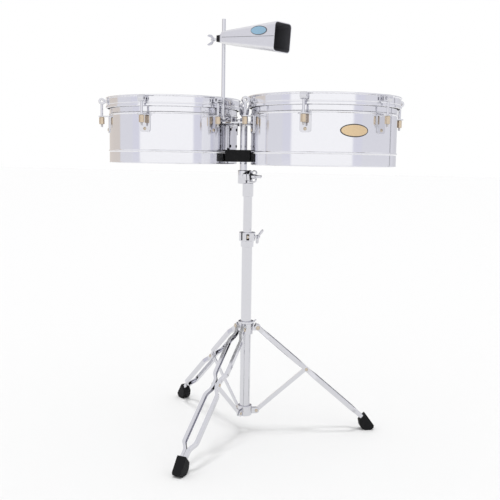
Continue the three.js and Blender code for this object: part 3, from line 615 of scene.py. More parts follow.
    def cut(self, *tools: "Form") -> "Form":
        """Returns: the shape with the tools cut out of it."""
        result = self
        for tool in tools:
            result = result.combine(tool, "DIFFERENCE")
        return result

    def fuse(self, *others: "Form") -> "Form":
        """Returns: the shape joined with the others into one solid."""
        result = self
        for other in others:
            result = result.combine(other, "UNION")
        return result

    def common(self, other: "Form") -> "Form":
        """Returns: what both solids share."""
        return self.combine(other, "INTERSECT")

    def bevel(self, width: float, segments: int = 2, angle: float = 32.0) -> "Form":
        """Args: width: of its edges' roundings. angle: from which an edge is rounded, in degrees."""
        def setup(scratch: bpy.types.Object) -> list[Any]:
            """Args: scratch: the object to set up. Returns: the helpers to remove."""
            modifier = scratch.modifiers.new("edges", "BEVEL")
            modifier.width = width
            modifier.segments = segments
            modifier.limit_method = "ANGLE"
            modifier.angle_limit = math.radians(angle)
            modifier.use_clamp_overlap = True
            return []
        return self.through("edges", setup)


# ---- Repeats made by Geometry Nodes --------------------------------------------------------------


class Pattern:
    """A Geometry Nodes tree that repeats the shape it is given."""

    INPUTS = {"Count": "NodeSocketInt", "Material": "NodeSocketMaterial"}

    def __init__(self, name: str, **sizes: str) -> None:
        """Args: name: the tree's name. sizes: its other inputs and their socket types."""
        self.tree = bpy.data.node_groups.new(name, "GeometryNodeTree")
        self.identifiers: dict[str, str] = {}
        face = self.tree.interface
        face.new_socket("Geometry", in_out="INPUT", socket_type="NodeSocketGeometry")
        face.new_socket("Geometry", in_out="OUTPUT", socket_type="NodeSocketGeometry")
        for key, kind in {**self.INPUTS, **sizes}.items():
            self.identifiers[key] = face.new_socket(key, in_out="INPUT", socket_type=kind).identifier
        self.graph = Graph(self.tree, "GeometryNode")
        source = self.tree.nodes.new("NodeGroupInput")
        self.inputs = {s.name: Wire(self.graph, s) for s in source.outputs if s.name}
        placed = self.copies()
        real = self.graph.add("RealizeInstances", {}, placed)
        dressed = self.graph.add("SetMaterial", {}, real, Material=self.inputs["Material"])
        end = self.tree.nodes.new("NodeGroupOutput")
        self.tree.links.new(dressed.socket, end.inputs[0])

    def copies(self) -> Wire:
        """Returns: the wire with the instances."""
        raise NotImplementedError

    def run(self, form: Form, finish: Finish, **values: float) -> Form:
        """Repeats a shape.

        Args:
            form: one copy.
            finish: what the copies are made of.
            values: the tree's inputs, by their names.
        Returns:
            All the copies as one shape.
        """
        def setup(scratch: bpy.types.Object) -> list[Any]:
            """Args: scratch: the object to set up. Returns: the helpers to remove."""
            modifier = scratch.modifiers.new("repeat", "NODES")
            modifier.node_group = self.tree
            modifier[self.identifiers["Material"]] = finish.material()
            for key, value in values.items():
                modifier[self.identifiers[key]] = value
            return []
        return form.through("repeat", setup)


class RingPattern(Pattern):
    """Copies at equal turns round Z, each turned to face outward."""

    def __init__(self) -> None:
        """Makes the tree, with the turn of its first copy in radians."""
        super().__init__("copies_round_a_drum", First="NodeSocketFloat")

    def copies(self) -> Wire:
        """Returns: instances on points at the origin, each turned to its own azimuth."""
        graph, inputs = self.graph, self.inputs
        points = graph.add("Points", {}, inputs["Count"])
        order = graph.add("InputIndex", {})
        turn = order * math.tau / inputs["Count"] + inputs["First"]
        spin = graph.add("CombineXYZ", {}, 0.0, 0.0, turn)
        return graph.add("InstanceOnPoints", {}, points, Instance=inputs["Geometry"], Rotation=spin)


class StackPattern(Pattern):
    """Copies one above the other, such as the ridges of a thread or the ribs of a foot."""

    def __init__(self) -> None:
        """Makes the tree, with the step between copies and the scale that the last one has."""
        super().__init__("copies_in_a_stack", Pitch="NodeSocketFloat", Swell="NodeSocketFloat")

    def copies(self) -> Wire:
        """Returns: instances on a line of points, swelling from the first to the last."""
        graph, inputs = self.graph, self.inputs
        step = graph.add("CombineXYZ", {}, 0.0, 0.0, inputs["Pitch"])
        line = graph.add("MeshLine", {"mode": "OFFSET"}, inputs["Count"], Offset=step)
        order = graph.add("InputIndex", {})
        growth = order / inputs["Count"] * inputs["Swell"] + 1.0
        size = graph.add("CombineXYZ", {}, growth, growth, 1.0)
        return graph.add("InstanceOnPoints", {}, line, Instance=inputs["Geometry"], Scale=size)


class BentBar(Pattern):
    """A round bar along a path of straight stretches with rounded bends."""

    def __init__(self) -> None:
        """Makes the tree; the path is the edges of the shape that it is given."""
        super().__init__("bent_bar", Radius="NodeSocketFloat", Bend="NodeSocketFloat")

    def copies(self) -> Wire:
        """Returns: the bar's surface, with closed ends; the count is its sides."""
        graph, inputs = self.graph, self.inputs
        path = graph.add("MeshToCurve", {}, inputs["Geometry"])
        bent = graph.node("FilletCurve", {}, path)
        self.tree.links.new(inputs["Bend"].socket, bent.inputs["Radius"])
        _choose(bent, "mode", "POLY")
        bent.inputs["Count"].default_value = 12
        ring = graph.add("CurvePrimitiveCircle", {"mode": "RADIUS"}, inputs["Count"], Radius=inputs["Radius"])
        return graph.add("CurveToMesh", {}, Wire(graph, bent.outputs[0]), ring, Fill_Caps=True)


def _choose(node: Any, key: str, value: str) -> None:
    """Sets a choice of a node that has it as a property."""
    if hasattr(node, key):
        setattr(node, key, value)


RING = RingPattern()
STACK = StackPattern()
BENT_BAR = BentBar()


# ---- Pieces ---------------------------------------------------------------------------------


def add_piece(name: str, form: Form, finish: Finish, body: str, *nodes: str,
              sharp: float = 38.0) -> bpy.types.Object:
    """Adds a finished piece to the scene and to the frame.

    Args:
        name: the object's name.
        form: its shape.
        finish: what it is made of.
        body: the CAD body it moves with.
        nodes: the CAD nodes it stands for.
        sharp: the angle in degrees from which an edge stays sharp.
    Returns:
        The object.
    """
    mesh = form.mesh(name, MM, ORIGIN)
    mesh.materials.append(finish.material())
    mesh.shade_smooth()
    mesh.set_sharp_from_angle(angle=math.radians(sharp))
    made = bpy.data.objects.new(name, mesh)
    bpy.context.scene.collection.objects.link(made)
    even = made.modifiers.new("even_normals", "WEIGHTED_NORMAL")
    even.keep_sharp = True
    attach(made, body)
    if nodes:
        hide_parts(*nodes)
    LOG.info("%s: %d faces on %s", name, len(mesh.polygons), body)
    return made


def bolt_head(radius: float, height: float) -> Form:
    """Returns: a low domed rivet head standing on the XY plane."""
    corners = [(0.0, 0.0, 0.0), (radius, 0.0, 0.0), (radius * 0.96, height * 0.5), (radius * 0.5, height),
               (0.0, height, 0.0)]
    return Form.lathe(softened(corners, height * 0.6, 4), 32, closed=False)


def cross_screw(radius: float, height: float) -> Form:
    """Returns: a pan-head screw with a cross recess, its underside on the XY plane."""
    head = bolt_head(radius, height)
    arm = radius * 0.62
    for sizes in ((arm, 0.55), (0.55, arm)):
        head = head.cut(Form.block((-sizes[0], -sizes[1], height * 0.35), (sizes[0], sizes[1], height + 1)))
    return head


def threaded(radius: float, low: float, high: float, pitch: float = 1.6, finish: Finish = CHROME) -> Form:
    """Makes a bar about Z with the ridges of a thread along it.

    Args:
        radius: the outside of its ridges.
        low: its lower end.
        high: its upper end.
        pitch: between ridges.
        finish: what it is made of.
    Returns:
        The bar.
    """
    count = max(1, int((high - low) / pitch) - 1)
    ridge = Form.lathe([(radius * 0.7, 0.0), (radius * 0.84, 0.0), (radius, pitch / 2),
                        (radius * 0.84, pitch), (radius * 0.7, pitch)], 24).move(z=low + pitch / 2)
    stack = STACK.run(ridge, finish, Count=count, Pitch=pitch, Swell=0.0)
    return Form.tube(radius * 0.84, low, high, edge=0.4, sides=24) + stack


# ---- Drums ------------------------------------------------------------------------------------


@dataclass(frozen=True)
class DrumSizes:
    """Sizes that both drums share; heights come from the CAD boxes."""

    wall: float = 1.5
    bead_depth: float = 2.0
    bead_height: float = 6.0
    low_bead: float = 787.6
    high_bead: float = 886.4
    shell_low: float = 754.6
    shell_high: float = 923.1
    hoop_low: float = 901.4
    hoop_high: float = 932.4
    hoop_reach: float = 10.0
    head_top: float = 924.4
    rod_reach: float = 21.0
    rod_radius: float = 3.4
    rod_low: float = 851.4
    rod_high: float = 921.5
    barrel_radius: float = 9.0
    barrel_width: float = 16.5
    nut_radius: float = 7.2
    nut_low: float = 859.5
    nut_high: float = 878.5
    plate_width: float = 28.6
    plate_low: float = 836.0
    plate_high: float = 882.0
    plate_thickness: float = 3.2
    shelf_reach: float = 29.0
    lugs: int = 6
    first_lug: float = 30.0


class Drum:
    """A steel shell with its head, hoop, six tension rods, lugs, nuts and mount."""

    def __init__(self, tag: str, sizes: DrumSizes) -> None:
        """Args: tag: 14in or 15in. sizes: the shared sizes."""
        self.tag = tag
        self.sizes = sizes
        box = Box.of(f"shell_{tag}")
        self.centre = box.centre
        self.radius = box.size.x / 2 - sizes.bead_depth
        LOG.info("drum %s: radius %.1f mm", tag, self.radius)

    def place(self, form: Form) -> Form:
        """Returns: a form made about the drum's axis, moved to it."""
        return form.move(self.centre.x, self.centre.y)

    def build(self) -> None:
        """Adds every piece of the drum."""
        self.shell()
        self.head()
        self.hoop()
        self.lugs()
        self.nuts()
        self.mount()

    def bead(self, height: float) -> list[Point]:
        """Returns: the outside of one rolled bead about a height."""
        half, reach = self.sizes.bead_height / 2, self.radius + self.sizes.bead_depth
        return [(self.radius, height - half, 1.2), (reach, height - half * 0.4, 1.8),
                (reach, height + half * 0.4, 1.8), (self.radius, height + half, 1.2)]

    def shell(self) -> None:
        """Adds the rolled shell, with both beads and a turned-in bottom edge."""
        s, r = self.sizes, self.radius
        inner = r - s.wall
        outside = [(r - 1.2, s.shell_low, 0.8), (r + 0.8, s.shell_low + 1.2, 1.2),
                   (r, s.shell_low + 3.4, 0.8),
                   *self.bead(s.low_bead), *self.bead(s.high_bead), (r, s.shell_high, 0.5)]
        inside = [(inner, s.shell_high, 0.5), (inner, s.shell_low + 3.0, 0.5),
                  (inner - 2.2, s.shell_low, 0.8)]
        form = Form.lathe(softened(outside + inside, 0.8, 4), 192)
        add_piece(f"shell_skin_{self.tag}", self.place(form), SHELL_CHROME, "drums", f"shell_{self.tag}")

    def head(self) -> None:
        """Adds the head: the film on its flesh ring, domed a little over the bearing edge."""
        s, r = self.sizes, self.radius
        top = s.head_top
        profile = [(0.0, top - 0.7, 0.0), (r - 6.0, top - 0.7, 2.0), (r + 1.0, top - 1.0, 2.0),
                   (r + 4.2, top - 5.0, 1.5), (r + 4.2, top - 9.0, 1.2), (r + 1.4, top - 9.0, 0.8),
                   (r + 1.4, top - 2.9, 1.2), (r - 0.5, top - 1.25, 0.5), (0.0, top - 1.25, 0.0)]
        form = Form.lathe(softened(profile, 0.6, 4), 144, closed=False)
        low = s.shell_high + 0.2
        form = form.mapped(lambda p: Vector((p.x, p.y, max(p.z, low) if p.xy.length < r + 1.0 else p.z)))
        add_piece(f"head_film_{self.tag}", self.place(form), FILM, "drums", f"head_{self.tag}", sharp=50)

    def hoop(self) -> None:
        """Adds the pressed hoop with its rolled lip, and the barrels and rods it carries."""
        s, r = self.sizes, self.radius
        band, lip = r + s.hoop_reach - 2.2, r + s.hoop_reach
        inner = band - 2.0
        outside = [(band, s.hoop_low + 1.0, 0.8), (lip, s.hoop_low + 1.6, 0.9), (lip, s.hoop_low + 7.4, 0.9),
                   (band - 0.5, s.hoop_low + 8.6, 0.8), (band - 0.5, s.hoop_low + 10.4, 0.8), (band,
                                                            s.hoop_low + 11.6, 0.8),
                   (band, s.hoop_high - 5.0, 1.2), (lip, s.hoop_high - 3.4, 1.4), (lip,
                                                            s.hoop_high - 0.6, 1.4)]
        inside = [(band - 1.2, s.hoop_high, 1.0), (inner, s.hoop_high - 2.6, 0.8),
                  (inner, s.hoop_low + 1.0, 0.5)]
        form = Form.lathe(softened(outside + inside, 0.8, 4), 192)
        add_piece(f"hoop_band_{self.tag}", self.place(form), SHELL_CHROME, "drums", f"hoop_{self.tag}")
        rods = self.place(self.ring(self.barrel_and_rod()))
        add_piece(f"hoop_rods_{self.tag}", rods, CHROME, "drums")

    def ring(self, form: Form, finish: Finish = CHROME) -> Form:
        """Returns: six turned copies of a form, made on the +X side of the drum."""
        first = math.radians(self.sizes.first_lug)
        return RING.run(form, finish, Count=self.sizes.lugs, First=first)

    def barrel_and_rod(self) -> Form:
        """Returns: one welded barrel with the rod hooked in it, its threads at the nut."""
        s = self.sizes
        at = self.radius + s.rod_reach
        half = s.barrel_width / 2
        barrel = Form.tube(s.barrel_radius, -half, half, 3.4, 1.6, 48).turn(Axis.X, 90).move(z=s.rod_high)
        neck = Form.block((-s.rod_reach + s.hoop_reach - 1.4, -3.2, s.rod_high - 5.0),
                          (-6.5, 3.2, s.rod_high + 5.0))
        rod = Form.tube(s.rod_radius, s.nut_high + 2.0, s.rod_high - s.barrel_radius + 1.0, edge=0.4,
                        sides=32)
        thread = threaded(s.rod_radius, s.rod_low, s.nut_low)
        link = threaded(s.rod_radius, s.nut_high, s.nut_high + 10.0)
        return (barrel + neck.bevel(1.0) + rod + thread + link).move(x=at)

    def lugs(self) -> None:
        """Adds the six bracket plates, each with its shelf and its cross-recess screw."""
        s, r = self.sizes, self.radius
        half = s.plate_width / 2
        outline = softened([(-half, s.plate_low, 8.0), (half, s.plate_low, 8.0), (half, s.plate_high, 2.5),
                            (-half, s.plate_high, 2.5)], 2.0, 6)
        plate = Form.prism(outline, 0.0, s.plate_thickness)
        plate = plate.mapped(lambda p: Vector((p.z, p.x, p.y))).outward().sliced(2.0).bevel(0.8)
        plate = plate.wrap(r + GAP)
        reach = [(0.0, -half), (s.shelf_reach - 9.0, -half, 8.0), (s.shelf_reach, -half + 6.0, 7.0),
                 (s.shelf_reach, half - 6.0, 7.0), (s.shelf_reach - 9.0, half, 8.0), (0.0, half)]
        shelf = Form.prism(softened(reach, 0.0, 6), s.plate_high - s.plate_thickness, s.plate_high)
        hole = Form.tube(s.rod_radius + 0.5, s.plate_high - 9.0, s.plate_high + 9.0).move(x=s.rod_reach)
        shelf = shelf.cut(hole).bevel(0.9).move(x=r + GAP + 0.4)
        screw = cross_screw(4.4, 2.2).turn(Axis.Y, 90)
        low = screw.move(x=r + s.plate_thickness + GAP - 0.2, z=s.plate_low + 8.5)
        for k in range(s.lugs):
            turn = s.first_lug + k * 360.0 / s.lugs
            number = k + 1
            body = (plate + shelf).turn(Axis.Z, turn)
            name = f"lug_{self.tag}_{number}"
            add_piece(name, self.place(body), CHROME, "drums", f"lug_bracket_{self.tag}_{number}")
            add_piece(f"{name}_screw", self.place(low.turn(Axis.Z, turn)), STEEL_SCREW, "drums")

    def nuts(self) -> None:
        """Adds the six tension nuts, each on its own body."""
        s, r = self.sizes, self.radius
        corners = [(s.nut_radius * math.cos(t), s.nut_radius * math.sin(t), 0.4)
                   for t in (math.radians(60 * k) for k in range(6))]
        hexagon = Form.prism(softened(corners, 0.4, 2), s.nut_low, s.nut_high)
        turned = Form.tube(s.nut_radius, s.nut_low, s.nut_high, edge=1.5, sides=48)
        nut = hexagon.common(turned).cut(Form.tube(s.rod_radius + 0.15, s.nut_low - 2, s.nut_high + 2))
        for k in range(s.lugs):
            turn = s.first_lug + k * 360.0 / s.lugs
            placed = self.place(nut.move(x=r + s.rod_reach).turn(Axis.Z, turn))
            name = f"tension_nut_{self.tag}_{k + 1}"
            add_piece(f"brass_{name}", placed, BRASS, name, name)

    def mount(self) -> None:
        """Adds the plate that carries the drum under the bridge, with four dark screws."""
        node = Box.of(f"drum_mount_{self.tag}")
        low, high, width = 794.3, 863.2, 64.0
        plate = Form.prism(softened([(-width / 2, low), (width / 2, low), (width / 2, high),
                                     (-width / 2, high)], 6.0, 5),
                           0.0, 3.0)
        plate = plate.mapped(lambda p: Vector((p.z, p.x, p.y))).outward().sliced(2.0).bevel(0.7)
        plate = plate.wrap(self.radius + GAP)
        flange = Form.block((self.radius + 1.0, -20.0, high - 4.5),
                            (self.radius + 26.0, 20.0, high)).bevel(1.2)
        facing = 0.0 if self.centre.x < 0 else 180.0
        form = (plate + flange).turn(Axis.Z, facing)
        placed = self.place(form)
        inside = [min(max(p.x, node.low.x - 1.0), node.high.x + 1.0) for p in placed.points]
        placed = Form([Vector((x, p.y, p.z)) for x, p in zip(inside, placed.points)], placed.faces)
        add_piece(f"mount_plate_{self.tag}", placed, CHROME, "drums", f"drum_mount_{self.tag}")
        screw = cross_screw(4.2, 2.0).turn(Axis.Y, 90)
        for y in (-23.0, 23.0):
            for z in (low + 10.0, high - 14.0):
                angle = math.degrees(y / self.radius)
                at = screw.move(x=self.radius + 3.1, z=z).turn(Axis.Z, angle + facing)
                side = "front" if y < 0 else "back"
                level = "low" if z < 820 else "high"
                add_piece(f"mount_screw_{self.tag}_{side}_{level}", self.place(at), NYLON_AND_SHADE, "drums")


# ---- Wing screws --------------------------------------------------------------------------------


@dataclass(frozen=True)
class WingSizes:
    """A wing screw or nut along +Z: its shank, its boss and its two wings, which sweep outward."""

    radius: float
    low: float
    shank: float
    boss: float
    boss_length: float
    span: float
    sweep: float
    bore: float = 0.0


def wing_screw(w: WingSizes) -> Form:
    """Makes the metal of a wing screw.

    Args:
        w: its sizes.
    Returns:
        The screw, its shank from `low` and its boss from `shank`.
    """
    top = w.shank + w.boss_length
    boss = Form.lathe(softened([(0.0, w.shank, 0.0), (w.boss, w.shank, 0.8), (w.boss * 0.86, top, 1.8),
                                (0.0, top, 0.0)], 0.8, 4), 40, closed=False)
    outline = [(w.boss * 0.3, w.shank + w.boss_length * 0.2, 1.0),
               (w.boss * 1.1, w.shank + w.boss_length * 0.2, 3.0),
               (w.span * 0.9, w.shank + w.boss_length * 0.45 + w.sweep * 0.3, 5.0),
               (w.span, top + w.sweep * 0.6, 4.0), (w.span * 0.78, top + w.sweep, 4.0),
               (w.boss * 0.8, top - 0.5, 5.0), (w.boss * 0.3, top - 0.5, 1.0)]
    wing = Form.upright(softened(outline, 1.0, 6), w.boss * 0.62).bevel(w.boss * 0.2, 3)
    whole = boss.fuse(wing, wing.turn(Axis.Z, 180))
    if w.bore > 0:
        return whole.cut(Form.tube(w.bore, w.shank - 5, top + 40))
    return whole + threaded(w.radius, w.low, w.shank + 0.5, 1.2)


def aim(form: Form, place: Vector, direction: Vector, turn: float) -> Form:
    """Args: turn: about its own axis, in degrees. Returns: a form made along +Z, aimed and placed."""
    spin = direction.to_track_quat("Z", "Y").to_matrix() @ Matrix.Rotation(math.radians(turn), 3, "Z")
    return form.mapped(lambda p: spin @ p + place)


def along(azimuth: float) -> Vector:
    """Args: azimuth: in degrees. Returns: the level direction at it."""
    return Vector((math.cos(math.radians(azimuth)), math.sin(math.radians(azimuth)), 0.0))


# ---- Post, bridge, bumper and tilter --------------------------------------------------------------


@dataclass(frozen=True)
class CentreSizes:
    """Sizes of what stands between the drums."""

    post_x: float = -14.1
    post_radius: float = 9.8
    post_low: float = 709.6
    post_high: float = 863.2
    stud_radius: float = 4.0
    stud_high: float = 898.0
    bridge_low: float = 863.5
    bridge_high: float = 868.5
    spacer_radius: float = 11.0
    spacer_high: float = 880.0
    clear: float = 2.4
    bumper_low: float = 762.0
    bumper_high: float = 794.0
    bumper_depth: float = 50.0
    bridge_depth: float = 62.0
    tilt_height: float = 722.6


class Centre:
    """The post with its bridge and bumper, the tilter and the mast."""

    def __init__(self, sizes: CentreSizes, drums: Sequence[Drum]) -> None:
        """Args: sizes: its sizes. drums: the drums on either side."""
        self.sizes = sizes
        self.drums = drums

    def build(self) -> None:
        """Adds every piece."""
        self.post()
        self.bridge()
        self.bumper()
        self.tilter()
        self.mast()

    def between(self, depth: float, low: float, high: float, edge: float) -> Form:
        """Makes a block whose ends follow both shells.

        Args:
            depth: half its depth.
            low: its underside.
            high: its top.
            edge: the rounding of its edges.
        Returns:
            The block.
        """
        sides = []
        for drum, facing in zip(self.drums, (1.0, -1.0)):
            reach = drum.radius + self.sizes.clear
            stations = [depth * (1 - 2 * k / 24) for k in range(25)]
            sides.append([(drum.centre.x + facing * math.sqrt(reach ** 2 - y * y), y) for y in stations])
        outline = sides[0] + list(reversed(sides[1]))
        return Form.prism(outline, low, high).bevel(edge, 3, 50.0)

    def post(self) -> None:
        """Adds the post and its stud."""
        s = self.sizes
        tube = Form.tube(s.post_radius, s.post_low, s.post_high, s.post_radius - 1.5)
        plug = Form.tube(s.post_radius - 1.4, s.post_high - 6.0, s.post_high, edge=0.3)
        stud = threaded(s.stud_radius, s.post_high - 0.5, s.stud_high, 1.25)
        add_piece("post_tube", (tube + plug + stud).move(x=s.post_x), CHROME, "drums", "post")

    def bridge(self) -> None:
        """Adds the bridge with its spacer and the eye that holds the cowbell rod, and its wing nut."""
        s = self.sizes
        plate = self.between(s.bridge_depth, s.bridge_low, s.bridge_high, 1.2)
        hole = Form.tube(s.stud_radius + GAP, s.bridge_low - 5, s.spacer_high + 5).move(x=s.post_x)
        spacer = Form.tube(s.spacer_radius, s.bridge_high - 0.4, s.spacer_high, edge=1.6).move(x=s.post_x)
        solid = plate.fuse(spacer).cut(hole)
        rod = Vector((ROD_FOOT.x, ROD_FOOT.y, 0.0))
        eye_at = Vector((-34.0, -52.0, 875.5))
        level = (rod - Vector((eye_at.x, eye_at.y, 0.0))).normalized()
        eye = aim(Form.tube(12.0, -7.0, 7.0, 5.2, 1.8), eye_at, level, 0.0)
        add_piece("bridge_plate", solid + eye, CHROME, "drums", "bridge_bracket")
        nut = WingSizes(5.0, 0.0, 0.0, 7.0, 14.0, 17.0, 16.0, bore=4.25)
        placed = wing_screw(nut).turn(Axis.Z, 60.0).move(s.post_x, 0.0, s.spacer_high + GAP)
        add_piece("wing_nut", placed, CHROME, "bridge_nut", "bridge_wing_nut")

    def bumper(self) -> None:
        """Adds the rubber block that keeps the shells apart."""
        s = self.sizes
        block = self.between(s.bumper_depth, s.bumper_low, s.bumper_high, 2.5)
        bore = Form.tube(s.post_radius + GAP, s.bumper_low - 5, s.bumper_high + 5).move(x=s.post_x)
        add_piece("bumper_rubber", block.cut(bore), RUBBER, "drums", "bumper_block")

    def tilter(self) -> None:
        """Adds the tilting head, and the looped screw that clamps it."""
        s = self.sizes
        round_block = Form.tube(15.0, 702.6, 739.3, s.post_radius + GAP, 2.2).move(x=s.post_x)
        cheek = Form.tube(16.7, -11.0, 0.6, edge=2.4, sides=72).turn(Axis.Y, 90).move(z=s.tilt_height)
        bore = Form.tube(s.post_radius + GAP, 690.0, 750.0).move(x=s.post_x)
        shank_hole = Form.tube(4.4, -14.0, 3.0, sides=32).turn(Axis.Y, 90).move(z=s.tilt_height)
        head = round_block.fuse(cheek.cut(bore, shank_hole))
        add_piece("tilter_casting", head, CHROME, "tilter_head", "tilter_head")
        boss = Form.tube(6.5, 9.1, 21.0, edge=1.4)
        washer = Form.tube(9.5, 8.8, 10.4, 4.2, 0.6)
        grip = Form.tube(4.2, 20.0, 39.0, edge=3.9, sides=40)
        loops = Form([], [])
        for side in (-1.0, 1.0):
            ring = Form.tube(8.0, -2.6, 2.6, 4.2, 1.8, 48).turn(Axis.X, 90).move(x=side * 9.4, z=17.5)
            loops = loops + ring
        shank = threaded(4.0, -9.0, 10.0, 1.25)
        screw = boss + grip + loops + shank
        turned = aim(screw, Vector((0.0, 0.0, s.tilt_height)), Vector((1.0, 0.0, 0.0)), 80.0)
        add_piece("tilter_looped_screw", turned, CHROME, "tilter_screw", "tilter_wing_screw")
        dark = washer.turn(Axis.Y, 90).move(z=s.tilt_height)
        add_piece("tilter_washer", dark, NYLON_AND_SHADE, "tilter_screw")

    def mast(self) -> None:
        """Adds the sliding mast with the ear that the tilter turns on."""
        s = self.sizes
        tube = Form.tube(12.0, 330.0, 702.0, 10.6, 0.7)
        socket = Form.tube(15.0, 667.5, 704.5, 11.9, 1.8)
        ear = Form.tube(17.0, 1.2, 8.7, 4.4, 1.6, 72).turn(Axis.Y, 90).move(z=s.tilt_height)
        root = Form.block((1.2, -12.0, 700.0), (8.7, 12.0, 713.0)).bevel(1.2)
        add_piece("mast_tube", tube + socket + ear + root, CHROME, "mast", "mast")


# ---- Cowbell ------------------------------------------------------------------------------------


@dataclass(frozen=True)
class CowbellSizes:
    """Sizes of the bell, in its own frame: its closed end at the rod and its mouth along +X."""

    near: float = 7.8
    far: float = 196.0
    near_width: float = 44.0
    near_height: float = 31.0
    near_corner: float = 6.0
    far_width: float = 66.0
    far_height: float = 72.0
    far_corner: float = 12.0
    wall: float = 1.8
    azimuth: float = -22.0
    pitch: float = 4.5


class Cowbell:
    """The bell on its rod, with the clamp and its wing screw."""

    ORIGIN = Vector((ROD_FOOT.x, ROD_FOOT.y, 1082.0))

    def __init__(self, sizes: CowbellSizes) -> None:
        """Args: sizes: the bell's sizes."""
        self.sizes = sizes

    def place(self, form: Form, pitched: bool = True) -> Form:
        """Returns: a form of the bell's own frame, in the part's."""
        tipped = form.turn(Axis.Y, self.sizes.pitch if pitched else 0.0)
        return tipped.turn(Axis.Z, self.sizes.azimuth).move(*self.ORIGIN)

    def section(self, x: float, inset: float) -> list[Vector]:
        """Returns: the bell's rounded section at a distance, shrunk by the inset."""
        s = self.sizes
        t = (x - s.near) / (s.far - s.near)
        half_w = (s.near_width + (s.far_width - s.near_width) * t) / 2 - inset
        half_h = (s.near_height + (s.far_height - s.near_height) * t) / 2 - inset
        corner = max(1.0, s.near_corner + (s.far_corner - s.near_corner) * t - inset)
        outline = softened([(-half_w, -half_h), (half_w, -half_h), (half_w, half_h), (-half_w, half_h)],
                           corner, 6)
        return [Vector((x, p[0], p[1])) for p in outline]

    def half_width(self, x: float) -> float:
        """Returns: half of the bell's outer width at a distance."""
        s = self.sizes
        return (s.near_width + (s.far_width - s.near_width) * (x - s.near) / (s.far - s.near)) / 2

    def build(self) -> None:
        """Adds the bell, its seam, a dark sheet of painted shade over its inside, its badge, the clamp, the
        rod and the screw.
        """
        s = self.sizes
        count = 14
        xs = [s.near + (s.far - s.near) * k / count for k in range(count + 1)]
        outside = [self.section(s.near, 3.0)] + [self.section(s.near + 1.6, 0.6)]
        outside += [self.section(x, 0.0) for x in xs[1:]]
        inside = [self.section(x, s.wall) for x in reversed(xs[1:])] + [self.section(s.near + 4.0,
                                                            s.wall + 1.0)]
        bell = Form.loft(outside + inside)
        # A near-black sheet just inside the bell's wall: painted shade for the dim hollow of the mouth.
        painted_shade_sheet = Form.loft([self.section(x, s.wall + 0.12) for x in reversed(xs[1:])]
                          + [self.section(s.near + 4.2, s.wall + 1.1)]
                          + [self.section(s.near + 4.6, s.wall + 1.5)]
                          + [self.section(x, s.wall + 0.5) for x in xs[1:]], loop=True)
        seams = Form([], [])
        for side in (-1.0, 1.0):
            rings = []
            for x in (s.near + 6.0, s.far - 1.0):
                at = side * self.half_width(x)
                corners = [(-0.9, -0.45), (0.2, -0.45), (0.2, 0.45), (-0.9, 0.45)]
                rings.append([Vector((x, at + dy * side, dz)) for dy, dz in corners])
            seams = seams + Form.loft(rings)
        add_piece("bell", self.place(bell), SATIN, "cowbell", "cowbell")
        add_piece("bell_seams", self.place(seams), DARK_TRIM_AND_SHADE, "cowbell")
        add_piece("bell_liner", self.place(painted_shade_sheet), DARK_TRIM_AND_SHADE, "cowbell")
        self.clamp()
        self.rod()
        self.badge()

    def clamp(self) -> None:
        """Adds the clamp block on the rod, and its wing screw."""
        block = Form.block((-7.0, -9.0, -11.0), (8.4, 9.0, 11.0)).bevel(1.8, 3)
        bore = Form.tube(4.8 + GAP, -20.0, 20.0)
        add_piece("bell_clamp", self.place(block.cut(bore), False), CHROME, "cowbell")
        nut = Form.block((-19.5, -8.0, -8.5), (-7.3, 8.0, 8.5)).bevel(1.2)
        nut = nut.cut(Form.tube(3.3, -40.0, 0.0).turn(Axis.Y, 90))
        add_piece("bell_clamp_nut", self.place(nut, False), NYLON_AND_SHADE, "cowbell_screw")
        screw = wing_screw(WingSizes(3.0, 5.1, 35.0, 5.5, 8.0, 14.5, 17.0))
        outward = screw.turn(Axis.Y, -90)
        add_piece("bell_wing_screw", self.place(outward, False), CHROME, "cowbell_screw",
                  "cowbell_wing_screw")

    def rod(self) -> None:
        """Adds the bent rod that carries the bell."""
        path = Form([ROD_START, ROD_FOOT, ROD_TOP], [])
        def setup(scratch: bpy.types.Object) -> list[Any]:
            """Args: scratch: the object to set up. Returns: the helpers to remove."""
            scratch.data.clear_geometry()
            scratch.data.from_pydata(list(path.points), [(0, 1), (1, 2)], [])
            modifier = scratch.modifiers.new("bar", "NODES")
            modifier.node_group = BENT_BAR.tree
            for key, value in (("Count", 32), ("Radius", 4.8), ("Bend", 9.0),
                               ("Material", CHROME.material())):
                modifier[BENT_BAR.identifiers[key]] = value
            return []
        bar = path.through("bar", setup).outward()
        add_piece("bell_rod", bar, CHROME, "cowbell_rod", "cowbell_rod")

    def badge(self) -> None:
        """Adds a plain oval plate on the bell's near side, with a raised boss and no lettering."""
        s = self.sizes
        taper = math.degrees(math.atan2((s.far_width - s.near_width) / 2, s.far - s.near))
        x = 144.0
        half = self.half_width(x)
        for name, wide, tall, lift, finish in (("rim", 27.0, 11.0, 0.5, DARK_TRIM_AND_SHADE),
                                               ("field", 25.4, 9.4, 0.8, BADGE_BLUE)):
            oval = [(wide * math.cos(math.tau * k / 48),
                     tall * math.sin(math.tau * k / 48)) for k in range(48)]
            plate = Form.upright(oval, 0.8).turn(Axis.Z, -taper).move(x, -(half + lift), 14.0)
            add_piece(f"bell_badge_{name}", self.place(plate), finish, "cowbell")


# ---- Tripod -------------------------------------------------------------------------------------


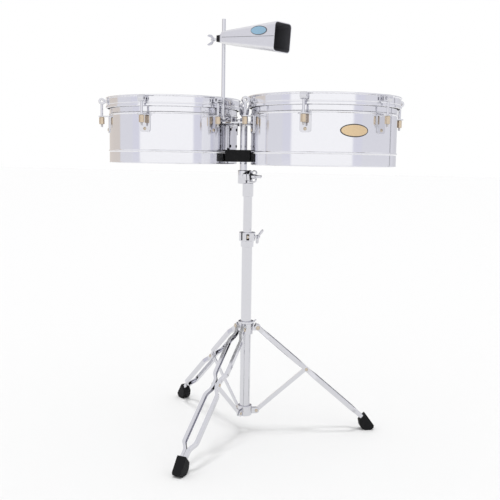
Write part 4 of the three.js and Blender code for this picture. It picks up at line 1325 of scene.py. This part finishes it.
@dataclass(frozen=True)
class TripodSizes:
    """Sizes of the folding base, about the base tube's axis."""

    azimuths: tuple[float, ...] = (22.9, 142.9, 262.9)
    brace: float = 185.1
    pivot: float = 33.0
    brace_height: float = 59.3
    top_height: float = 300.5
    knee_reach: float = 173.4
    knee_height: float = 179.9
    slope: float = 40.65
    tube: float = 14.3
    tube_low: float = 47.2
    tube_high: float = 544.3
    bar_width: float = 9.0
    bar_depth: float = 12.0
    wall: float = 1.6
    stations: tuple[Point, ...] = (
        (-194.6, 8.8), (-165.1, 8.8), (-147.1, 17.5), (-32.0, 17.5), (-14.0, 6.4),
        (14.0, 6.4), (32.0, 17.5), (175.8, 17.5), (193.8, 4.8), (233.8, 4.8),
    )
    fixed_hub: float = 20.5
    fixed_hub_high: float = 75.2
    fork_root: float = 16.5
    slider: float = 19.5
    slider_low: float = 282.0
    slider_high: float = 312.4
    flange: float = 22.3
    flange_high: float = 319.0
    hub_screw_azimuth: float = 82.9
    hub_screw_turn: float = 130.0
    collar: float = 17.8
    collar_low: float = 528.6
    clamp: float = 22.8
    clamp_low: float = 544.6
    clamp_high: float = 569.1
    clamp_bore: float = 12.3
    slit_azimuth: float = -112.0
    window_azimuth: float = -67.0
    clamp_screw_azimuth: float = 48.7
    clamp_screw_turn: float = 128.0


class Tripod:
    """The base tube with its hubs and clamp, three channel-barred legs, their braces and boots."""

    def __init__(self, sizes: TripodSizes) -> None:
        """Args: sizes: its sizes."""
        self.sizes = sizes

    def build(self) -> None:
        """Adds every piece."""
        self.tube()
        self.hubs()
        self.clamp()
        for k, azimuth in enumerate(self.sizes.azimuths):
            self.leg(k + 1, azimuth)

    def tube(self) -> None:
        """Adds the base tube."""
        s = self.sizes
        form = Form.tube(s.tube, s.tube_low, s.tube_high, s.tube - 1.5, 0.6, 80)
        add_piece("base_tube_chrome", form, CHROME, "base", "base_tube")

    def ears(self, height: float, root: float, radius: float, thick: float, offsets: Sequence[float]) -> Form:
        """Returns: pairs of round-ended ears at each leg, from the hub to its pivots."""
        s = self.sizes
        form = Form([], [])
        for azimuth in s.azimuths:
            for side in offsets:
                outline = [(root, -radius), (s.pivot, -radius), *arc(s.pivot, 0.0, radius, -90, 90, 14),
                           (root, radius)]
                ear = Form.upright(outline, thick).bevel(0.7).move(y=side, z=height)
                form = form + ear.turn(Axis.Z, azimuth)
        return form

    def hubs(self) -> None:
        """Adds the fixed hub of the braces and the sliding hub of the legs, with its wing screw."""
        s = self.sizes
        fixed = Form.tube(s.fixed_hub, s.tube_low, s.fixed_hub_high, s.tube + GAP, 2.2, 80)
        low = self.ears(s.brace_height, s.fork_root, 8.5, 3.0, (-3.4, 3.4))
        add_piece("brace_hub_casting", fixed + low, CHROME, "base", "brace_hub")
        body = Form.tube(s.slider, s.slider_low, s.slider_high, s.tube + GAP, 1.6, 80)
        flange = Form.tube(s.flange, s.slider_high - 0.4, s.flange_high, s.tube + GAP, 1.8, 80)
        high = self.ears(s.top_height, s.fork_root, 9.0, 8.0, (0.0,))
        add_piece("leg_hub_casting", body + flange + high, CHROME, "leg_hub", "leg_hub")
        screw = wing_screw(WingSizes(3.0, 14.6, 27.8, 6.0, 9.0, 22.0, 4.0))
        placed = aim(screw, Vector((0.0, 0.0, s.top_height)), along(s.hub_screw_azimuth), s.hub_screw_turn)
        add_piece("hub_wing_screw", placed, CHROME, "leg_hub_screw", "leg_hub_wing_screw")

    def clamp(self) -> None:
        """Adds the height clamp with its slit and its window, its brass nut and its wing screw."""
        s = self.sizes
        outline = [(s.tube + GAP, s.clamp_low), (s.clamp, s.clamp_low, 3.0), (s.clamp, s.clamp_high, 1.5),
                   (s.clamp_bore, s.clamp_high)]
        ring = Form.lathe(softened(outline, 0.6, 4), 80)
        collar = Form.tube(s.collar, s.collar_low, 545.0, s.tube + GAP, 1.0, 80)
        slit = Form.block((10.0, -2.2, 547.6), (30.0, 2.2, 575.0)).turn(Axis.Z, s.slit_azimuth)
        window = Form.block((10.0, -4.0, 548.0), (30.0, 4.0, 565.0)).turn(Axis.Z, s.window_azimuth)
        body = ring.cut(slit, window) + collar
        add_piece("clamp_casting", body, CHROME, "base", "height_clamp")
        # A black sleeve inside the clamp ring: painted shade that darkens the slit and the window, where the
        # chrome mast would show.
        window_shade_sleeve = Form.tube(s.tube + 0.1, 545.2, 568.4, s.clamp_bore, 0.4, 80)
        add_piece("clamp_bush", window_shade_sleeve, NYLON_AND_SHADE, "base")
        nut = Form.block((15.0, -2.6, 552.4), (21.0, 2.6, 561.2)).bevel(0.5)
        nut = nut.turn(Axis.Z, s.window_azimuth)
        add_piece("clamp_nut", nut, BRASS, "base")
        screw = wing_screw(WingSizes(3.0, -10.0, 21.0, 6.0, 8.0, 27.0, 5.0))
        beside_mast = Vector((13.1, -11.5, 556.85))
        placed = aim(screw, beside_mast, along(s.clamp_screw_azimuth), s.clamp_screw_turn)
        add_piece("clamp_wing_screw", placed, CHROME, "height_clamp_screw", "height_clamp_screw")

    def on_leg(self, form: Form, azimuth: float) -> Form:
        """Returns: a form of the leg's own frame, its origin at the knee and +X down the leg."""
        s = self.sizes
        return form.turn(Axis.Y, s.slope).move(s.knee_reach, 0.0, s.knee_height).turn(Axis.Z, azimuth)

    def bar(self, side: float) -> Form:
        """Makes one channel bar, open toward the other bar, that bends in at both ends and the knee.

        Args:
            side: +1 for the left bar, -1 for the right one.
        Returns:
            The bar, in the leg's own frame.
        """
        s = self.sizes
        half, deep, wall = s.bar_width / 2, s.bar_depth / 2, s.wall
        rings = []
        for along_leg, apart in self.bends():
            out, back = apart + half, apart - half
            section = [(back, -deep), (out - 1.2, -deep), (out, -deep + 1.2), (out, deep - 1.2),
                       (out - 1.2, deep),
                       (back, deep), (back, deep - wall), (out - wall, deep - wall), (out - wall,
                                                            -deep + wall),
                       (back, -deep + wall)]
            rings.append([Vector((along_leg, side * y, z)) for y, z in section])
        return Form.loft(rings)

    def bends(self) -> list[tuple[float, float]]:
        """Returns: the bar's stations with its bends eased into curves."""
        stations = list(self.sizes.stations)
        eased = [stations[0]]
        for before, here, after in zip(stations, stations[1:], stations[2:]):
            a, b, c = Vector(before), Vector(here), Vector(after)
            reach = min(7.0, (a - b).length * 0.4, (c - b).length * 0.4)
            start, end = b + (a - b).normalized() * reach, b + (c - b).normalized() * reach
            eased += curved(start, b, end, 4)
        return eased + [stations[-1]]

    def leg(self, number: int, azimuth: float) -> None:
        """Args: number: the leg's number. azimuth: its direction. Adds the leg, brace and boot."""
        s = self.sizes
        body = f"leg_{number}"
        for side, word in ((1.0, "left"), (-1.0, "right")):
            form = self.bar(side)
            rivet = bolt_head(4.6, 2.2).turn(Axis.X, -90.0 * side).move(y=side * 10.9)
            bolt = bolt_head(6.0, 2.2).turn(Axis.X, -90.0 * side).move(x=-s.brace, y=side * 13.3)
            whole = self.on_leg(form, azimuth)
            add_piece(f"{body}_channel_{word}", whole, CHROME, body, f"{body}_bar_{word}")
            add_piece(f"{body}_rivets_{word}", self.on_leg(rivet + bolt, azimuth), STEEL_SCREW, body)
        self.boot(number, azimuth)
        rise = math.degrees(math.atan2(s.knee_height - s.brace_height, s.knee_reach - s.pivot))
        reach = s.brace
        outline = [*arc(reach, 0.0, 6.0, -90, 90, 12), *arc(0.0, 0.0, 6.0, 90, 270, 12)]
        strip = Form.upright(outline, 3.2).bevel(0.6)
        placed = strip.turn(Axis.Y, -rise).move(s.pivot, 0.0, s.brace_height).turn(Axis.Z, azimuth)
        pins = Form([], [])
        for side in (-1.0, 1.0):
            pins = pins + bolt_head(4.6, 2.0).turn(Axis.X, -90.0 * side).move(s.pivot, side * 4.8,
                                                            s.brace_height)
        add_piece(f"brace_{number}_hub_pin", pins.turn(Axis.Z, azimuth), STEEL_SCREW, "base")
        add_piece(f"brace_{number}_strip", placed, CHROME, f"brace_{number}", f"brace_{number}")

    def boot(self, number: int, azimuth: float) -> None:
        """Args: number: the leg's. azimuth: its direction. Adds the rubber boot."""
        profile = [(-6.0, 12.0), (1.0, 3.0), (8.0, 0.0), (25.0, 0.0), (34.0, 6.0), (35.0, 13.0)]
        mouth = (338.7, 38.0)
        slope = math.radians(self.sizes.slope)
        up = Vector((math.sin(slope), math.cos(slope)))
        near = (Vector(mouth) - up * 13.5, Vector(mouth) + up * 13.5)
        sole = [(mouth[0] + p[0], p[1]) for p in profile]
        outline = softened([tuple(near[1]), tuple(near[0]), *sole], 3.0, 4)
        block = Form.upright(outline, 26.0).bevel(3.2, 4, 40.0)
        turned = block.turn(Axis.Z, azimuth)
        add_piece(f"boot_{number}", turned, RUBBER, f"leg_{number}", f"leg_{number}_foot")


# ---- Studio and the whole ---------------------------------------------------------------------


@dataclass(frozen=True)
class Camera:
    """The camera: its lens, its place in millimetres about the base axis, and its angles."""

    lens: float = 54.48
    place: tuple[float, float, float] = (674.3, -1976.5, 770.7)
    azimuth: float = 18.61
    elevation: float = 6.872
    roll: float = 0.893

    def build(self) -> None:
        """Adds the camera and makes it the scene's."""
        a, e, r = (math.radians(v) for v in (self.azimuth, self.elevation, self.roll))
        back = Vector((math.sin(a) * math.cos(e), -math.cos(a) * math.cos(e), math.sin(e)))
        right = Vector((math.cos(a), math.sin(a), 0.0))
        up = back.cross(right)
        side = right * math.cos(r) + up * math.sin(r)
        top = up * math.cos(r) - right * math.sin(r)
        data = bpy.data.cameras.new("camera")
        data.lens = self.lens
        data.sensor_width = 36.0
        made = bpy.data.objects.new("camera", data)
        made.matrix_world = Matrix((side, top, back)).transposed().to_4x4()
        made.location = ORIGIN + Vector(self.place) * MM
        bpy.context.scene.collection.objects.link(made)
        bpy.context.scene.camera = made


@dataclass(frozen=True)
class Studio:
    """A pale floor, a surround with upright bands that chrome reflects, and a soft sun."""

    floor: float = 0.83
    size: float = 80.0
    ambient: float = 0.84
    sun: float = 1.15
    sun_angle: float = 13.0

    def build(self) -> None:
        """Adds the floor, the world and the lights."""
        half = self.size / 2
        mesh = bpy.data.meshes.new("floor")
        corners = [(-half, -half, 0), (half, -half, 0), (half, half, 0), (-half, half, 0)]
        mesh.from_pydata(corners, [], [(0, 1, 2, 3)])
        ground = bpy.data.materials.new("floor_paper")
        ground.use_nodes = True
        shader = ground.node_tree.nodes["Principled BSDF"]
        shader.inputs["Base Color"].default_value = (self.floor, self.floor, self.floor, 1.0)
        shader.inputs["Roughness"].default_value = 0.9
        mesh.materials.append(ground)
        floor = bpy.data.objects.new("floor", mesh)
        bpy.context.scene.collection.objects.link(floor)
        self.world()
        self.overhead()
        bpy.context.scene.view_settings.view_transform = "Standard"

    def world(self) -> None:
        """Makes the surround: white to the camera, and upright bands to reflections."""
        world = bpy.data.worlds.new("studio")
        bpy.context.scene.world = world
        world.use_nodes = True
        world.node_tree.nodes.clear()
        graph = Graph(world.node_tree, "ShaderNode")
        place = graph.add("TexCoord", {}, out="Generated")
        parts = graph.node("SeparateXYZ", {}, place)
        x, y, z = (Wire(graph, parts.outputs[k]) for k in range(3))
        turn = graph.add("Math", {"operation": "ARCTAN2"}, y, x) / math.tau + 0.5
        cream, grey, lavender = (0.74, 0.68, 0.63), (0.80, 0.80, 0.85), (0.78, 0.78, 0.87)
        white, shade, dark = (1.08, 1.08, 1.09), (0.70, 0.70, 0.74), (0.13, 0.13, 0.15)
        bands = turn.ramp(
            (0.0, cream), (0.010, cream), (0.016, grey), (0.100, grey), (0.108, lavender), (0.142, lavender),
            (0.150, white), (0.375, white), (0.410, white), (0.420, lavender), (0.455, lavender),
            (0.462, grey), (0.636, grey), (0.641, dark), (0.646, grey), (0.70, shade), (0.765, shade),
            (0.785, dark), (0.815, dark),
            (0.835, cream), (1.0, cream),
        )
        above = z.ramp((0.35, 0.0), (0.62, 1.0))
        seen = graph.blend(above, bands, (0.95, 0.95, 0.97))
        path = graph.node("LightPath", {})
        camera, glossy = Wire(graph, path.outputs["Is Camera Ray"]), Wire(graph,
                                                            path.outputs["Is Glossy Ray"])
        lit = graph.blend(glossy, (self.ambient,) * 3, seen)
        shown = graph.blend(camera, lit, (1.0, 1.0, 1.0))
        shader = graph.node("Background", {}, shown, 1.0)
        graph.node("OutputWorld", {}, Wire(graph, shader.outputs[0]))

    def overhead(self) -> None:
        """Adds the soft light from above, in which only the tripod casts a shadow."""
        data = bpy.data.lights.new("overhead", "SUN")
        data.energy = self.sun
        data.angle = math.radians(self.sun_angle)
        made = bpy.data.objects.new("overhead", data)
        made.visible_glossy = False
        bpy.context.scene.collection.objects.link(made)
        casters = bpy.data.collections.new("shadow_casters")
        for piece in bpy.context.scene.collection.objects:
            if piece.name.startswith(("leg_", "boot_", "brace_")) and piece.type == "MESH":
                casters.objects.link(piece)
        made.light_linking.blocker_collection = casters


def badge(drum: Drum, azimuth: float) -> None:
    """Adds a plain oval plate, with a dark rim and no marks on it, to a shell.

    Args:
        drum: the drum.
        azimuth: where on the shell, in degrees.
    """
    for name, half_width, half_height, lift, finish in (
        ("rim", 37.0, 16.0, 0.0, BADGE_BLACK), ("field", 34.5, 13.5, 0.35, BADGE_TAN),
    ):
        turns = [math.tau * k / 64 for k in range(64)]
        oval = [(half_width * math.cos(t), half_height * math.sin(t)) for t in turns]
        flat = Form.prism(oval, 0.0, 0.7).mapped(lambda p: Vector((p.z, p.x, p.y))).outward()
        bent = flat.sliced(1.5).move(x=lift, z=842.0).wrap(drum.radius + GAP).turn(Axis.Z, azimuth)
        add_piece(f"badge_{name}_{drum.tag}", drum.place(bent), finish, "drums")


class Timbales:
    """The whole instrument."""

    def build(self) -> None:
        """Adds every piece of it."""
        sizes = DrumSizes()
        drums = [Drum("14in", sizes), Drum("15in", sizes)]
        for drum in drums:
            drum.build()
        badge(drums[1], -53.7)
        Centre(CentreSizes(), drums).build()
        Cowbell(CowbellSizes()).build()
        Tripod(TripodSizes()).build()


def main() -> None:
    """Builds the instrument and the studio round it."""
    logging.basicConfig(level=logging.INFO, format="%(name)s %(message)s")
    Timbales().build()
    Camera().build()
    Studio().build()


if __name__ == "__main__":
    main()
